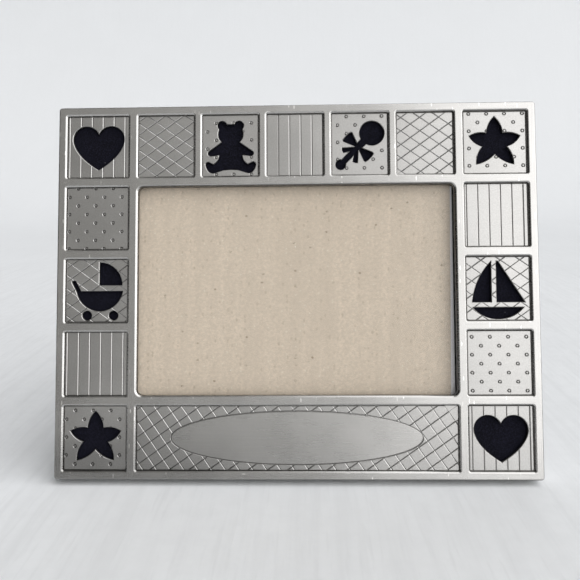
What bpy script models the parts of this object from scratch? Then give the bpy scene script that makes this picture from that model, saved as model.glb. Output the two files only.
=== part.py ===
"""Baby photo frame of satin cast metal, standing on its easel leg.

Every piece is modelled in the plane of the frame and then leaned back with it. In that plane X runs
along the frame, Y up its face and Z out towards the viewer: Y = 0 is the bottom edge, Z = 0 the top of
the raised ribs. One empty carries the lean, and a second one, on the hinge pin, carries the leg.
"""

import math
from collections import namedtuple

import bmesh
import bpy
from mathutils import Matrix, Vector

MM = 0.001

# Overall size and stance
FRAME_WIDTH = 216.0 * MM
FRAME_HEIGHT = 168.0 * MM
LEAN = math.radians(15.0)
OPEN_ANGLE = math.radians(25.0)
GAP = 0.3 * MM
OVERCUT = 1.0 * MM

# Cast face: a rim and ribs round a window, with shallow cells between them
RIM_WIDTH = 2.95 * MM
RIB_WIDTH = 2.55 * MM
FINE_RIB_WIDTH = 1.9 * MM
SIDE_CELL_WIDTH = 30.1 * MM
ROWS = 5
TOP_CELLS = 5
CELL_DEPTH = 1.4 * MM
CELL_CORNER = 1.9 * MM
WALL_RUN = 1.0 * MM
LIP_ROUND = 0.35 * MM
FLOOR_THICKNESS = 1.6 * MM
WINDOW_CORNER = 3.6 * MM
WINDOW_WALL_RUN = 1.1 * MM
OUTER_CORNER = 1.3 * MM
FRONT_EDGE_ROUND = 0.7 * MM
SKIRT_THICKNESS = 1.8 * MM
SKIRT_PROUD = 0.3 * MM

# Engraving on the cell floors
GROOVE_DEPTH = 0.3 * MM
GROOVE_WIDTH = 0.65 * MM
STRIPE_PITCH = 5.06 * MM
DIAMOND_WIDTH = 8.6 * MM
DIAMOND_HEIGHT = 6.2 * MM
LATTICE_PITCH = 5.03 * MM
LATTICE_SLOPE = math.radians(35.0)
DOT_PITCH = 8.0 * MM
DOT_ROW_PITCH = 3.96 * MM
DOT_RADIUS = 0.95 * MM
DOT_MARGIN = 1.2 * MM
OVAL_END_MARGIN = 15.4 * MM
OVAL_SIDE_MARGIN = 2.4 * MM
OVAL_RISE = 0.05 * MM
OVAL_GROOVE_DEPTH = 0.34 * MM
OVAL_GROOVE_RADIUS = 0.4 * MM
OVAL_SIDES = 56
LEAST_TILE = 0.6 * MM**2
SNAP = 0.4 * MM

# The stack behind the cast face
LINER_THICKNESS = 0.5 * MM
FELT_THICKNESS = 0.5 * MM
GLASS_THICKNESS = 2.0 * MM
FILLER_THICKNESS = 1.6 * MM
BOARD_THICKNESS = 2.6 * MM
GLASS_LAP = 4.65 * MM
POCKET_CLEARANCE = 0.6 * MM
RING_CLEARANCE = 0.4 * MM

# Turn buttons and their screws
BUTTON_WIDTH = 7.0 * MM
BUTTON_REACH = 10.5 * MM
BUTTON_THICKNESS = 0.8 * MM
BUTTON_FROM_END = 24.0 * MM
BUTTON_SETBACK = 5.0 * MM
SCREW_RADIUS = 1.1 * MM
SCREW_HEAD_RADIUS = 2.5 * MM
SCREW_HEAD_HEIGHT = 1.2 * MM
SCREW_LENGTH = 6.0 * MM
RECESS_LENGTH = 2.8 * MM
RECESS_WIDTH = 0.6 * MM
RECESS_DEPTH = 0.7 * MM

# Easel leg and its hinge
LEG_THICKNESS = 2.1 * MM
LEG_CLEARANCE = 0.5 * MM
LEG_TOP_WIDTH = 38.0 * MM
LEG_FOOT_WIDTH = 58.0 * MM
LEG_CORNER = 3.0 * MM
LEG_FELT_BORDER = 0.6 * MM
HINGE_BELOW_BOARD_TOP = 13.5 * MM
LEAF_THICKNESS = 0.8 * MM
LEAF_INSET = 0.05 * MM
LEAF_WIDTH = 30.0 * MM
LEAF_HEIGHT = 10.5 * MM
KNUCKLE_LENGTH = 13.0 * MM
PIN_RADIUS = 1.05 * MM
PIN_OVERHANG = 0.4 * MM
RIVET_RADIUS = 0.9 * MM
RIVET_HEAD_RADIUS = 1.9 * MM
RIVET_HEAD_HEIGHT = 0.7 * MM
RIVET_SPACING = 21.0 * MM
RIVET_INSET = 3.6 * MM

# Heights in the stack, all below the top of the ribs
FLOOR_Z = -CELL_DEPTH
FACE_REAR = FLOOR_Z - FLOOR_THICKNESS
LINER_FRONT = FACE_REAR - GAP
LINER_REAR = LINER_FRONT - LINER_THICKNESS
RING_FRONT = LINER_REAR - GAP
GLASS_FRONT = FACE_REAR - GAP
GLASS_REAR = GLASS_FRONT - GLASS_THICKNESS
FILLER_FRONT = GLASS_REAR - GAP
FILLER_REAR = FILLER_FRONT - FILLER_THICKNESS
BOARD_FRONT = FILLER_REAR - GAP
BOARD_REAR = BOARD_FRONT - BOARD_THICKNESS
FELT_FRONT = BOARD_REAR - GAP
FELT_REAR = FELT_FRONT - FELT_THICKNESS
SKIRT_REAR = FELT_REAR - SKIRT_PROUD
BUTTON_FRONT = FELT_REAR - GAP
BUTTON_REAR = BUTTON_FRONT - BUTTON_THICKNESS

# Widths across the face
CELL_HEIGHT = (FRAME_HEIGHT - 2 * RIM_WIDTH - (ROWS - 1) * RIB_WIDTH) / ROWS
ROW_PITCH = CELL_HEIGHT + RIB_WIDTH
INNER_WIDTH = FRAME_WIDTH - 2 * (RIM_WIDTH + SIDE_CELL_WIDTH + RIB_WIDTH)
TOP_CELL_WIDTH = (INNER_WIDTH - (TOP_CELLS - 1) * FINE_RIB_WIDTH) / TOP_CELLS
TOP_CELL_PITCH = TOP_CELL_WIDTH + FINE_RIB_WIDTH
SIDE_CELL_X = FRAME_WIDTH / 2 - RIM_WIDTH - SIDE_CELL_WIDTH / 2
BOTTOM_ROW_Y = RIM_WIDTH + CELL_HEIGHT / 2
TOP_ROW_Y = BOTTOM_ROW_Y + (ROWS - 1) * ROW_PITCH
WINDOW_HEIGHT = (ROWS - 2) * CELL_HEIGHT + (ROWS - 3) * RIB_WIDTH
WINDOW_Y = FRAME_HEIGHT / 2
GLASS_WIDTH = INNER_WIDTH - 2 * WINDOW_WALL_RUN + 2 * GLASS_LAP
GLASS_HEIGHT = WINDOW_HEIGHT - 2 * WINDOW_WALL_RUN + 2 * GLASS_LAP
POCKET_WIDTH = GLASS_WIDTH + 2 * POCKET_CLEARANCE
POCKET_HEIGHT = GLASS_HEIGHT + 2 * POCKET_CLEARANCE
TRAY_WIDTH = FRAME_WIDTH - 2 * SKIRT_THICKNESS
TRAY_HEIGHT = FRAME_HEIGHT - 2 * SKIRT_THICKNESS
RING_WIDTH = TRAY_WIDTH - 2 * RING_CLEARANCE
RING_HEIGHT = TRAY_HEIGHT - 2 * RING_CLEARANCE

# Hinge: the barrel is as thick as the leg and what is riveted to it
STACK_ON_LEG = GAP + FELT_THICKNESS + GAP + LEAF_THICKNESS
BARREL_RADIUS = (LEG_CLEARANCE - GAP + LEG_THICKNESS + STACK_ON_LEG + LEAF_INSET) / 2
BORE_RADIUS = PIN_RADIUS + GAP
LEAF_OFFSET = BARREL_RADIUS - LEAF_INSET - LEAF_THICKNESS
KNUCKLE_CLEAR = BARREL_RADIUS + 1.5 * GAP
HINGE_Y = WINDOW_Y + GLASS_HEIGHT / 2 - HINGE_BELOW_BOARD_TOP
HINGE_Z = FELT_REAR - GAP - BARREL_RADIUS
LEG_REAR = -LEAF_OFFSET + GAP + FELT_THICKNESS + GAP
LEG_FRONT = LEG_REAR + LEG_THICKNESS
STOP_TAIL = (LEAF_OFFSET - GAP + LEAF_OFFSET * math.cos(OPEN_ANGLE)) / math.sin(OPEN_ANGLE)
RIVET_HOLE_RADIUS = RIVET_RADIUS + GAP
SCREW_HOLE_RADIUS = SCREW_RADIUS + GAP

# The open leg meets the floor level with the rear of the bottom edge
FOOT_TILT = OPEN_ANGLE - LEAN
HINGE_HEIGHT = HINGE_Y * math.cos(LEAN) + (HINGE_Z - SKIRT_REAR) * math.sin(LEAN)
LEG_LENGTH = HINGE_HEIGHT / math.cos(FOOT_TILT)

# Icons are drawn in millimetres on a tile, and fill the same share of their own cell's floor
WIDE_TILE = 28.1
NARROW_TILE = 25.45
ARC_STEP = 1.4

Cell = namedtuple("Cell", "x y width height pattern phase icon")


def clear_scene():
    """Start from an empty scene."""
    for item in list(bpy.data.objects):
        bpy.data.objects.remove(item, do_unlink=True)


def make_collection(name):
    """A named collection in the scene."""
    group = bpy.data.collections.new(name)
    bpy.context.scene.collection.children.link(group)
    return group


def make_material(name, colour, roughness, metallic=0.0, transmission=0.0):
    """A plain Principled finish."""
    finish = bpy.data.materials.new(name)
    finish.use_nodes = True
    shader = finish.node_tree.nodes["Principled BSDF"]
    shader.inputs["Base Color"].default_value = (*colour, 1.0)
    shader.inputs["Roughness"].default_value = roughness
    shader.inputs["Metallic"].default_value = metallic
    shader.inputs["Transmission Weight"].default_value = transmission
    finish.diffuse_color = (*colour, 1.0)
    return finish


def add_mesh(name, bm, group, finish=None, parent=None, place=(0, 0, 0), turn=0.0):
    """Make an object of a bmesh, placed in its parent's frame and turned about Z."""
    bm.normal_update()
    mesh = bpy.data.meshes.new(name)
    bm.to_mesh(mesh)
    bm.free()
    return add_object(name, mesh, group, finish, parent, place, turn)


def add_object(name, mesh, group, finish=None, parent=None, place=(0, 0, 0), turn=0.0):
    """Make an object of a mesh, which others may share."""
    item = bpy.data.objects.new(name, mesh)
    group.objects.link(item)
    item.parent = parent
    item.location = place
    item.rotation_euler.z = turn
    if finish and not mesh.materials:
        mesh.materials.append(finish)
    return item


def as_cutter(item):
    """Keep a cutting shape out of the finished part."""
    item.hide_render = True
    item.display_type = "WIRE"
    return item


def combine(item, other, operation="DIFFERENCE"):
    """Cut one solid with another, or join them."""
    change = item.modifiers.new(other.name, "BOOLEAN")
    change.operation = operation
    change.solver = "EXACT"
    change.object = other


def add_box(bm, low, high):
    """A box between two corners."""
    size = [b - a for a, b in zip(low, high)]
    middle = [(a + b) / 2 for a, b in zip(low, high)]
    matrix = Matrix.Translation(middle) @ Matrix.Diagonal((*size, 1.0))
    return bmesh.ops.create_cube(bm, size=1.0, matrix=matrix)["verts"]


def edges_along(verts, axis):
    """The edges among some vertices that run along an axis."""
    found = {edge for vert in verts for edge in vert.link_edges}
    return [e for e in found if abs((e.verts[0].co - e.verts[1].co).normalized()[axis]) > 0.99]


def round_edges(bm, edges, radius, segments):
    """Round some edges."""
    return bmesh.ops.bevel(
        bm, geom=edges, offset=radius, segments=segments, profile=0.5, affect="EDGES", material=-1
    )


def add_rounded_block(bm, x, y, width, height, low, high, corner, segments=3):
    """A block with rounded upright edges, and its lower face."""
    half = Vector((width / 2, height / 2))
    verts = add_box(bm, (x - half.x, y - half.y, low), (x + half.x, y + half.y, high))
    before = set(bm.faces)
    own = {face for vert in verts for face in vert.link_faces}
    round_edges(bm, edges_along(verts, 2), corner, segments)
    faces = [f for f in bm.faces if f not in before or f in own]
    return min(faces, key=lambda f: (round(f.calc_center_median().z, 7), f.normal.z))


def add_cylinder(bm, radius, low, high, segments=16, axis="Z", at=(0, 0)):
    """A cylinder along Z at a place in the plane, or along X at a place across it."""
    middle = (low + high) / 2
    if axis == "X":
        matrix = Matrix.Translation((middle, *at)) @ Matrix.Rotation(math.pi / 2, 4, "Y")
    else:
        matrix = Matrix.Translation((*at, middle))
    bmesh.ops.create_cone(
        bm, cap_ends=True, segments=segments, radius1=radius, radius2=radius, depth=high - low, matrix=matrix
    )


def arc(x, y, radius, start, end, step=ARC_STEP):
    """Points along an arc, in degrees, both ends included."""
    turn = math.radians(end - start)
    count = max(2, round(abs(turn) * radius / step))
    angles = [math.radians(start) + turn * i / count for i in range(count + 1)]
    return [(x + radius * math.cos(a), y + radius * math.sin(a)) for a in angles]


def bend(start, control, end, count=4):
    """Points along a curve that leaves start and reaches end by way of a control point."""
    points = []
    for i in range(count + 1):
        t = i / count
        weights = ((1 - t) ** 2, 2 * t * (1 - t), t**2)
        points.append(tuple(sum(w * p[k] for w, p in zip(weights, (start, control, end))) for k in (0, 1)))
    return points


def bulged(start, end, bulge, count=3):
    """A side from start to end that bulges to its left."""
    run = (end[0] - start[0], end[1] - start[1])
    length = math.hypot(*run)
    middle = ((start[0] + end[0]) / 2, (start[1] + end[1]) / 2)
    control = (middle[0] - bulge * run[1] / length, middle[1] + bulge * run[0] / length)
    return bend(start, control, end, count)


def joined(*runs):
    """One outline out of several runs, without repeated points."""
    points = []
    for point in [p for run in runs for p in run]:
        if not points or math.dist(points[-1], point) > 0.05:
            points.append(point)
    if math.dist(points[0], points[-1]) <= 0.05:
        points.pop()
    return points


def mirrored(right_half):
    """A whole outline from its right half, which starts and ends on the middle line."""
    left = [(-x, y) for x, y in reversed(right_half) if abs(x) > 0.01]
    return joined(right_half, left)


def heart_outline():
    """A heart: two round lobes and two sides that draw in to a point."""
    lobe = arc(5.55, 3.6, 6.0, 157.5, -15.0)
    lower = bend(lobe[-1], (9.7, -4.4), (0.0, -10.3), 6)
    return [mirrored(joined([(0.0, 5.9)], lobe, lower))]


def star_outline():
    """A star of five leaf-shaped arms."""
    tips = [(0.0, 11.6), (11.05, 2.95), (8.1, -9.6), (-8.1, -9.6), (-11.05, 2.95)]
    notches = [(3.45, 4.2), (5.25, -1.7), (0.0, -4.9), (-5.25, -1.7), (-3.45, 4.2)]
    runs = []
    for i, tip in enumerate(tips):
        runs.append(bulged(notches[i - 1], tip, 1.6))
        runs.append(bulged(tip, notches[i], 1.6))
    return [joined(*runs)]


def teddy_outline():
    """A sitting teddy bear, seen from the front."""
    ear = arc(3.8, 9.3, 2.1, 165.0, -45.0)
    cheek = bend((5.35, 7.0), (6.3, 3.9), (4.0, 1.7))
    hand = arc(9.1, -3.4, 1.2, 60.0, -97.0, 1.0)
    leg_top = [(5.2, -4.1), (5.6, -6.5), (7.7, -8.4)]
    foot = arc(10.15, -8.5, 1.2, 105.0, -10.0, 1.0)
    sole = bend(foot[-1], (10.3, -13.2), (7.0, -12.2)) + [(3.2, -11.0), (0.0, -10.8)]
    return [mirrored(joined([(0.0, 9.8)], ear, cheek, hand, leg_top, foot, sole))]


def rattle_outline():
    """A rattle tied with a bow: its handle lies along a slanting line."""
    grip = arc(0.0, 0.0, 2.3, 180.0, 32.0)
    tail = [(8.3, 1.3), (4.8, 2.9), (5.2, 4.1), (5.9, 4.8), (10.0, 1.15)]
    loop = [(10.6, 1.1), (8.5, 6.4), (8.7, 7.0), (11.25, 7.3), (13.8, 7.0), (14.0, 6.4), (11.9, 1.1)]
    neck = [(12.5, 1.5), (14.4, 1.55)]
    ball = arc(19.95, 0.0, 5.5, 163.0, 0.0)
    upper = joined(grip, tail, loop, neck, ball)
    lower = [(u, -v) for u, v in reversed(upper) if abs(v) > 0.01]
    turn = math.radians(45.3)
    whole = joined(upper, lower)
    start = (-8.6, -9.2)
    return [
        [
            (start[0] + u * math.cos(turn) - v * math.sin(turn), start[1] + u * math.sin(turn) + v * math.cos(turn))
            for u, v in whole
        ]
    ]


def pram_outline():
    """A pram: a folding hood, a bowl with its handle, and two wheels."""
    hood = joined([(1.05, 2.5)], arc(1.05, 2.5, 10.05, 0.0, 90.0))
    rim_y = -0.2
    centre, radius = (1.1, 1.4), 10.4
    rim_end = math.degrees(math.asin((rim_y - centre[1]) / radius))
    bowl = arc(*centre, radius, rim_end, -169.0)
    handle = [(-11.3, 3.7), (-11.2, 4.2), (-10.2, 4.5), (-9.6, 4.2), (-7.3, rim_y)]
    wheels = [arc(x, -11.0, 2.05, 0.0, 360.0)[:-1] for x in (-4.4, 7.4)]
    return [hood, joined(bowl, handle), *wheels]


def sailboat_outline():
    """A sailing boat: two sails and a hull."""
    foot_y = -6.0
    back_sail = joined([(-2.9, foot_y)], bend((-2.9, 11.6), (-9.8, 4.4), (-11.1, foot_y), 6))
    front_sail = [(-0.5, foot_y), (11.6, foot_y), (0.2, 11.9), (-0.5, 11.9)]
    deck_y, half_length, hull_depth = -8.3, 10.85, 5.1
    radius = (half_length**2 + hull_depth**2) / (2 * hull_depth)
    spread = math.degrees(math.asin(half_length / radius))
    hull = arc(0.0, deck_y + radius - hull_depth, radius, 270.0 - spread, 270.0 + spread, 2.2)
    return [back_sail, front_sail, hull]


ICONS = {
    "heart": (heart_outline, WIDE_TILE),
    "star": (star_outline, WIDE_TILE),
    "pram": (pram_outline, WIDE_TILE),
    "sailboat": (sailboat_outline, WIDE_TILE),
    "teddy": (teddy_outline, NARROW_TILE),
    "rattle": (rattle_outline, NARROW_TILE),
}


def face_cells():
    """Every cell round the window, with its pattern, the pattern's phase in mm and its icon."""
    top = [
        ("diamonds", (-0.3, 2.1), None),
        ("dots", (-6.5, 2.6), "teddy"),
        ("stripes", (0.1, 0.0), None),
        ("dots", (2.0, 4.9), "rattle"),
        ("diamonds", (2.0, 2.8), None),
    ]
    left = [
        ("stripes", (-0.4, 0.0), "heart"),
        ("dots", (-5.7, 2.2), None),
        ("diamonds", (1.3, 2.6), "pram"),
        ("stripes", (-0.4, 0.0), None),
        ("dots", (-1.6, 4.5), "star"),
    ]
    right = [
        ("dots", (0.5, 1.3), "star"),
        ("stripes", (-0.5, 0.0), None),
        ("diamonds", (-3.0, 3.3), "sailboat"),
        ("dots", (0.3, -0.2), None),
        ("stripes", (0.0, 0.0), "heart"),
    ]
    cells = []
    for i, (pattern, phase, icon) in enumerate(top):
        x = (i - (TOP_CELLS - 1) / 2) * TOP_CELL_PITCH
        cells.append(Cell(x, TOP_ROW_Y, TOP_CELL_WIDTH, CELL_HEIGHT, pattern, phase, icon))
    for x, column in ((-SIDE_CELL_X, left), (SIDE_CELL_X, right)):
        for i, (pattern, phase, icon) in enumerate(column):
            y = TOP_ROW_Y - i * ROW_PITCH
            cells.append(Cell(x, y, SIDE_CELL_WIDTH, CELL_HEIGHT, pattern, phase, icon))
    return cells


def bottom_panel():
    """The long panel under the window."""
    return Cell(0.0, BOTTOM_ROW_Y, INNER_WIDTH, CELL_HEIGHT, "lattice", (0.6, 1.5), None)


def pattern_lines(cell):
    """The grooves of a cell's pattern: (angle, pitch, offset) of each family of parallel lines."""
    slope = math.atan2(DIAMOND_HEIGHT, DIAMOND_WIDTH)
    diamond_pitch = DIAMOND_WIDTH * math.sin(slope)
    families = {
        "stripes": [(math.pi / 2, STRIPE_PITCH, STRIPE_PITCH / 2)],
        "diamonds": [(slope, diamond_pitch, 0.0), (-slope, diamond_pitch, 0.0)],
        "lattice": [(LATTICE_SLOPE + turn, LATTICE_PITCH, 0.0) for turn in (0.0, math.pi / 2)],
        "dots": [],
    }
    phase = Vector(cell.phase) * MM
    across = {angle: Vector((-math.sin(angle), math.cos(angle))) for angle, _, _ in families[cell.pattern]}
    return [(angle, pitch, start + phase.dot(across[angle])) for angle, pitch, start in families[cell.pattern]]


def widest_slope(tile):
    """How far a tile's edges can draw in, up to half a groove, with some of each edge left."""
    limit = GROOVE_WIDTH / 2
    for loop in tile.loops:
        spread = sum(1 / math.tan(corner.calc_angle() / 2) for corner in (loop, loop.link_loop_next))
        limit = min(limit, 0.8 * loop.edge.calc_length() / max(spread, 0.001))
    return limit


def engrave(bm, floor, cell):
    """Divide a cutter's floor into tiles along the pattern's lines and lift each tile, which leaves
    the grooves between them, and one round the foot of the wall, standing out of the cutter."""
    tiles = [floor]
    reach = math.hypot(cell.width, cell.height) / 2
    for angle, pitch, offset in pattern_lines(cell):
        across = Vector((-math.sin(angle), math.cos(angle), 0.0))
        first = math.ceil((-reach - offset) / pitch)
        for i in range(first, math.floor((reach - offset) / pitch) + 1):
            point = Vector((cell.x, cell.y, 0.0)) + across * (offset + i * pitch)
            parts = {e for face in tiles for e in (*face.edges, *face.verts)}
            cut = bmesh.ops.bisect_plane(
                bm, geom=[*tiles, *parts], dist=SNAP, plane_co=point, plane_no=across
            )
            tiles = [part for part in cut["geom"] if isinstance(part, bmesh.types.BMFace)]
    for tile in tiles:
        if tile.calc_area() > LEAST_TILE:
            bmesh.ops.inset_individual(
                bm, faces=[tile], thickness=widest_slope(tile), depth=-GROOVE_DEPTH, use_even_offset=True
            )


def add_pocket(bm, cell):
    """The shape that sinks one cell into the face: rounded lip, sloping wall and engraved floor."""
    floor = add_rounded_block(bm, cell.x, cell.y, cell.width, cell.height, 0.0, OVERCUT, CELL_CORNER)
    bmesh.ops.inset_region(bm, faces=[floor], thickness=LIP_ROUND, depth=LIP_ROUND)
    drop = CELL_DEPTH + GROOVE_DEPTH - LIP_ROUND
    bmesh.ops.inset_region(bm, faces=[floor], thickness=WALL_RUN - LIP_ROUND, depth=drop)
    engrave(bm, floor, cell)


def oval_points(cell, grow=0.0, shift=0.0):
    """The oval in the bottom panel, as points on an ellipse."""
    inset = (WALL_RUN + OVAL_END_MARGIN - grow, WALL_RUN + OVAL_SIDE_MARGIN - grow)
    half = (cell.width / 2 - inset[0], cell.height / 2 - inset[1])
    angles = [math.tau * (i + shift) / OVAL_SIDES for i in range(OVAL_SIDES)]
    return [(cell.x + half[0] * math.cos(a), cell.y + half[1] * math.sin(a)) for a in angles]


def outline_curve(outlines, name):
    """A curve object with one closed spline for each outline."""
    curve = bpy.data.curves.new(name, "CURVE")
    curve.dimensions = "2D"
    for points in outlines:
        spline = curve.splines.new("POLY")
        spline.points.add(len(points) - 1)
        for place, (x, y) in zip(spline.points, points):
            place.co = (x, y, 0.0, 1.0)
        spline.use_cyclic_u = True
    item = bpy.data.objects.new(name, curve)
    bpy.context.scene.collection.objects.link(item)
    return item


def curve_to_bmesh(item):
    """The welded mesh of a curve object, which is then removed."""
    bpy.context.view_layer.update()
    evaluated = item.evaluated_get(bpy.context.evaluated_depsgraph_get())
    mesh = bpy.data.meshes.new_from_object(evaluated)
    mesh.transform(item.matrix_world)
    bm = bmesh.new()
    bm.from_mesh(mesh)
    bmesh.ops.remove_doubles(bm, verts=bm.verts, dist=0.001 * MM)
    bpy.data.objects.remove(item, do_unlink=True)
    return bm


def prism(outlines, low, high):
    """A flat plate of the given outlines, where an outline inside another is a hole."""
    item = outline_curve(outlines, "outline")
    item.data.fill_mode = "BOTH"
    item.data.extrude = (high - low) / 2
    item.location.z = (high + low) / 2
    return curve_to_bmesh(item)


def tube_along(points, z, radius):
    """A closed tube of diamond section along an outline."""
    item = outline_curve([points], "tube")
    item.data.dimensions = "3D"
    item.data.bevel_depth = radius
    item.data.bevel_resolution = 0
    item.location.z = z
    return curve_to_bmesh(item)


def rectangle(width, height, x=0.0, y=0.0):
    """The four corners of a rectangle."""
    return [(x - width / 2, y - height / 2), (x + width / 2, y - height / 2),
            (x + width / 2, y + height / 2), (x - width / 2, y + height / 2)]


def circle(x, y, radius, count=12):
    """Points round a circle."""
    angles = [math.tau * i / count for i in range(count)]
    return [(x + radius * math.cos(a), y + radius * math.sin(a)) for a in angles]


def icon_outlines(cells):
    """The outlines of every icon, at its place on the face."""
    found = []
    for cell in cells:
        if cell.icon:
            draw, tile = ICONS[cell.icon]
            scale = (min(cell.width, cell.height) - 2 * WALL_RUN) / tile
            for points in draw():
                found.append([(cell.x + scale * x, cell.y + scale * y) for x, y in points])
    return found


def dot_centres(cell):
    """Where a dotted cell has its punched dots: rows that are offset by half a pitch in turn."""
    half_width = cell.width / 2 - WALL_RUN - DOT_MARGIN
    half_height = cell.height / 2 - WALL_RUN - DOT_MARGIN
    start = Vector(cell.phase) * MM
    centres = []
    for row in range(-9, 10):
        y = start.y + row * DOT_ROW_PITCH
        for column in range(-9, 10):
            x = start.x + (column + (row % 2) / 2) * DOT_PITCH
            if abs(x) <= half_width and abs(y) <= half_height:
                centres.append((cell.x + x, cell.y + y))
    return centres


def face_cutters(cells, group):
    """The shapes that are cut out of the cast face, in the order they are cut."""
    panel = bottom_panel()
    pockets = bmesh.new()
    for cell in cells:
        add_pocket(pockets, cell)
    panel_pocket = bmesh.new()
    add_pocket(panel_pocket, panel)
    plain_oval = prism([oval_points(panel, GAP / 2, 0.5)], FLOOR_Z - 2 * GROOVE_DEPTH, FLOOR_Z + OVAL_RISE)
    oval_depth = FLOOR_Z - OVAL_GROOVE_DEPTH + OVAL_GROOVE_RADIUS
    tray = bmesh.new()
    add_rounded_block(tray, 0, WINDOW_Y, TRAY_WIDTH, TRAY_HEIGHT, SKIRT_REAR - OVERCUT, FACE_REAR, LIP_ROUND, 1)
    window = bmesh.new()
    sill = add_rounded_block(window, 0, WINDOW_Y, INNER_WIDTH, WINDOW_HEIGHT, 0.0, OVERCUT, WINDOW_CORNER)
    bmesh.ops.inset_region(window, faces=[sill], thickness=LIP_ROUND, depth=LIP_ROUND)
    drop = -FACE_REAR + OVERCUT - LIP_ROUND
    bmesh.ops.inset_region(window, faces=[sill], thickness=WINDOW_WALL_RUN - LIP_ROUND, depth=drop)
    marks = bmesh.new()
    for cell in cells:
        if cell.pattern == "dots":
            for place in dot_centres(cell):
                bmesh.ops.create_cone(
                    marks, cap_ends=True, segments=6, radius1=DOT_RADIUS - GROOVE_DEPTH,
                    radius2=DOT_RADIUS + GROOVE_DEPTH, depth=2 * GROOVE_DEPTH,
                    matrix=Matrix.Translation((*place, FLOOR_Z)),
                )
    shapes = {
        "cell_pockets": pockets,
        "panel_pocket": panel_pocket,
        "rear_tray": tray,
        "window_opening": window,
        "dot_marks": marks,
        "oval_groove": tube_along(oval_points(panel), oval_depth, OVAL_GROOVE_RADIUS),
        "icon_openings": prism(icon_outlines(cells), FACE_REAR - OVERCUT, OVERCUT),
    }
    cutters = {name: as_cutter(add_mesh(name, bm, group)) for name, bm in shapes.items()}
    combine(cutters["panel_pocket"], as_cutter(add_mesh("plain_oval", plain_oval, group)))
    return list(cutters.values())


def build_front_casting(group, cutter_group, finish, stand):
    """The cast metal front: face, ribs, cells, window and the skirt round the back."""
    bm = bmesh.new()
    add_rounded_block(bm, 0, WINDOW_Y, FRAME_WIDTH, FRAME_HEIGHT, SKIRT_REAR, 0.0, OUTER_CORNER)
    front = [e for e in bm.edges if all(abs(v.co.z) < 1e-6 for v in e.verts)]
    round_edges(bm, front, FRONT_EDGE_ROUND, 2)
    casting = add_mesh("front_casting", bm, group, finish, stand)
    for cutter in face_cutters(face_cells(), cutter_group):
        cutter.parent = stand
        combine(casting, cutter)
    for extra in cutter_group.objects:
        extra.parent = stand


def button_places():
    """Where the turn buttons' screws go, and which way each button points."""
    x = GLASS_WIDTH / 2 - BUTTON_FROM_END
    y = POCKET_HEIGHT / 2 + BUTTON_SETBACK
    return {
        "top_left": (-x, WINDOW_Y + y, math.pi),
        "top_right": (x, WINDOW_Y + y, math.pi),
        "bottom_left": (-x, WINDOW_Y - y, 0.0),
        "bottom_right": (x, WINDOW_Y - y, 0.0),
    }


def hinge_rivets(side):
    """Where a hinge leaf's two rivets go: side is 1 for the board's leaf and -1 for the leg's."""
    y = side * (KNUCKLE_CLEAR + LEAF_HEIGHT - RIVET_INSET)
    return [(-RIVET_SPACING / 2, y), (RIVET_SPACING / 2, y)]


def build_stack(group, finishes, stand):
    """The liner, glass, filler and backing that lie behind the cast face."""
    ring = rectangle(RING_WIDTH, RING_HEIGHT, y=WINDOW_Y)
    pocket = rectangle(POCKET_WIDTH, POCKET_HEIGHT, y=WINDOW_Y)
    pane = rectangle(GLASS_WIDTH, GLASS_HEIGHT, y=WINDOW_Y)
    screw_holes = [circle(x, y, SCREW_HOLE_RADIUS) for x, y, _ in button_places().values()]
    rivet_holes = [circle(x, HINGE_Y + y, RIVET_HOLE_RADIUS) for x, y in hinge_rivets(1)]
    layers = [
        ("velvet_liner", [ring, pocket], LINER_REAR, LINER_FRONT, "velvet"),
        ("backing_ring", [ring, pocket, *screw_holes], BOARD_REAR, RING_FRONT, "hardboard"),
        ("ring_felt", [ring, pocket, *screw_holes], FELT_REAR, FELT_FRONT, "velvet"),
        ("glass_pane", [pane], GLASS_REAR, GLASS_FRONT, "glass"),
        ("corrugated_filler", [pane], FILLER_REAR, FILLER_FRONT, "kraft_card"),
        ("back_board", [pane, *rivet_holes], BOARD_REAR, BOARD_FRONT, "hardboard"),
        ("board_felt", [pane, *rivet_holes], FELT_REAR, FELT_FRONT, "velvet"),
    ]
    for name, outlines, low, high, finish in layers:
        add_mesh(name, prism(outlines, low, high), group, finishes[finish], stand)


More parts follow.
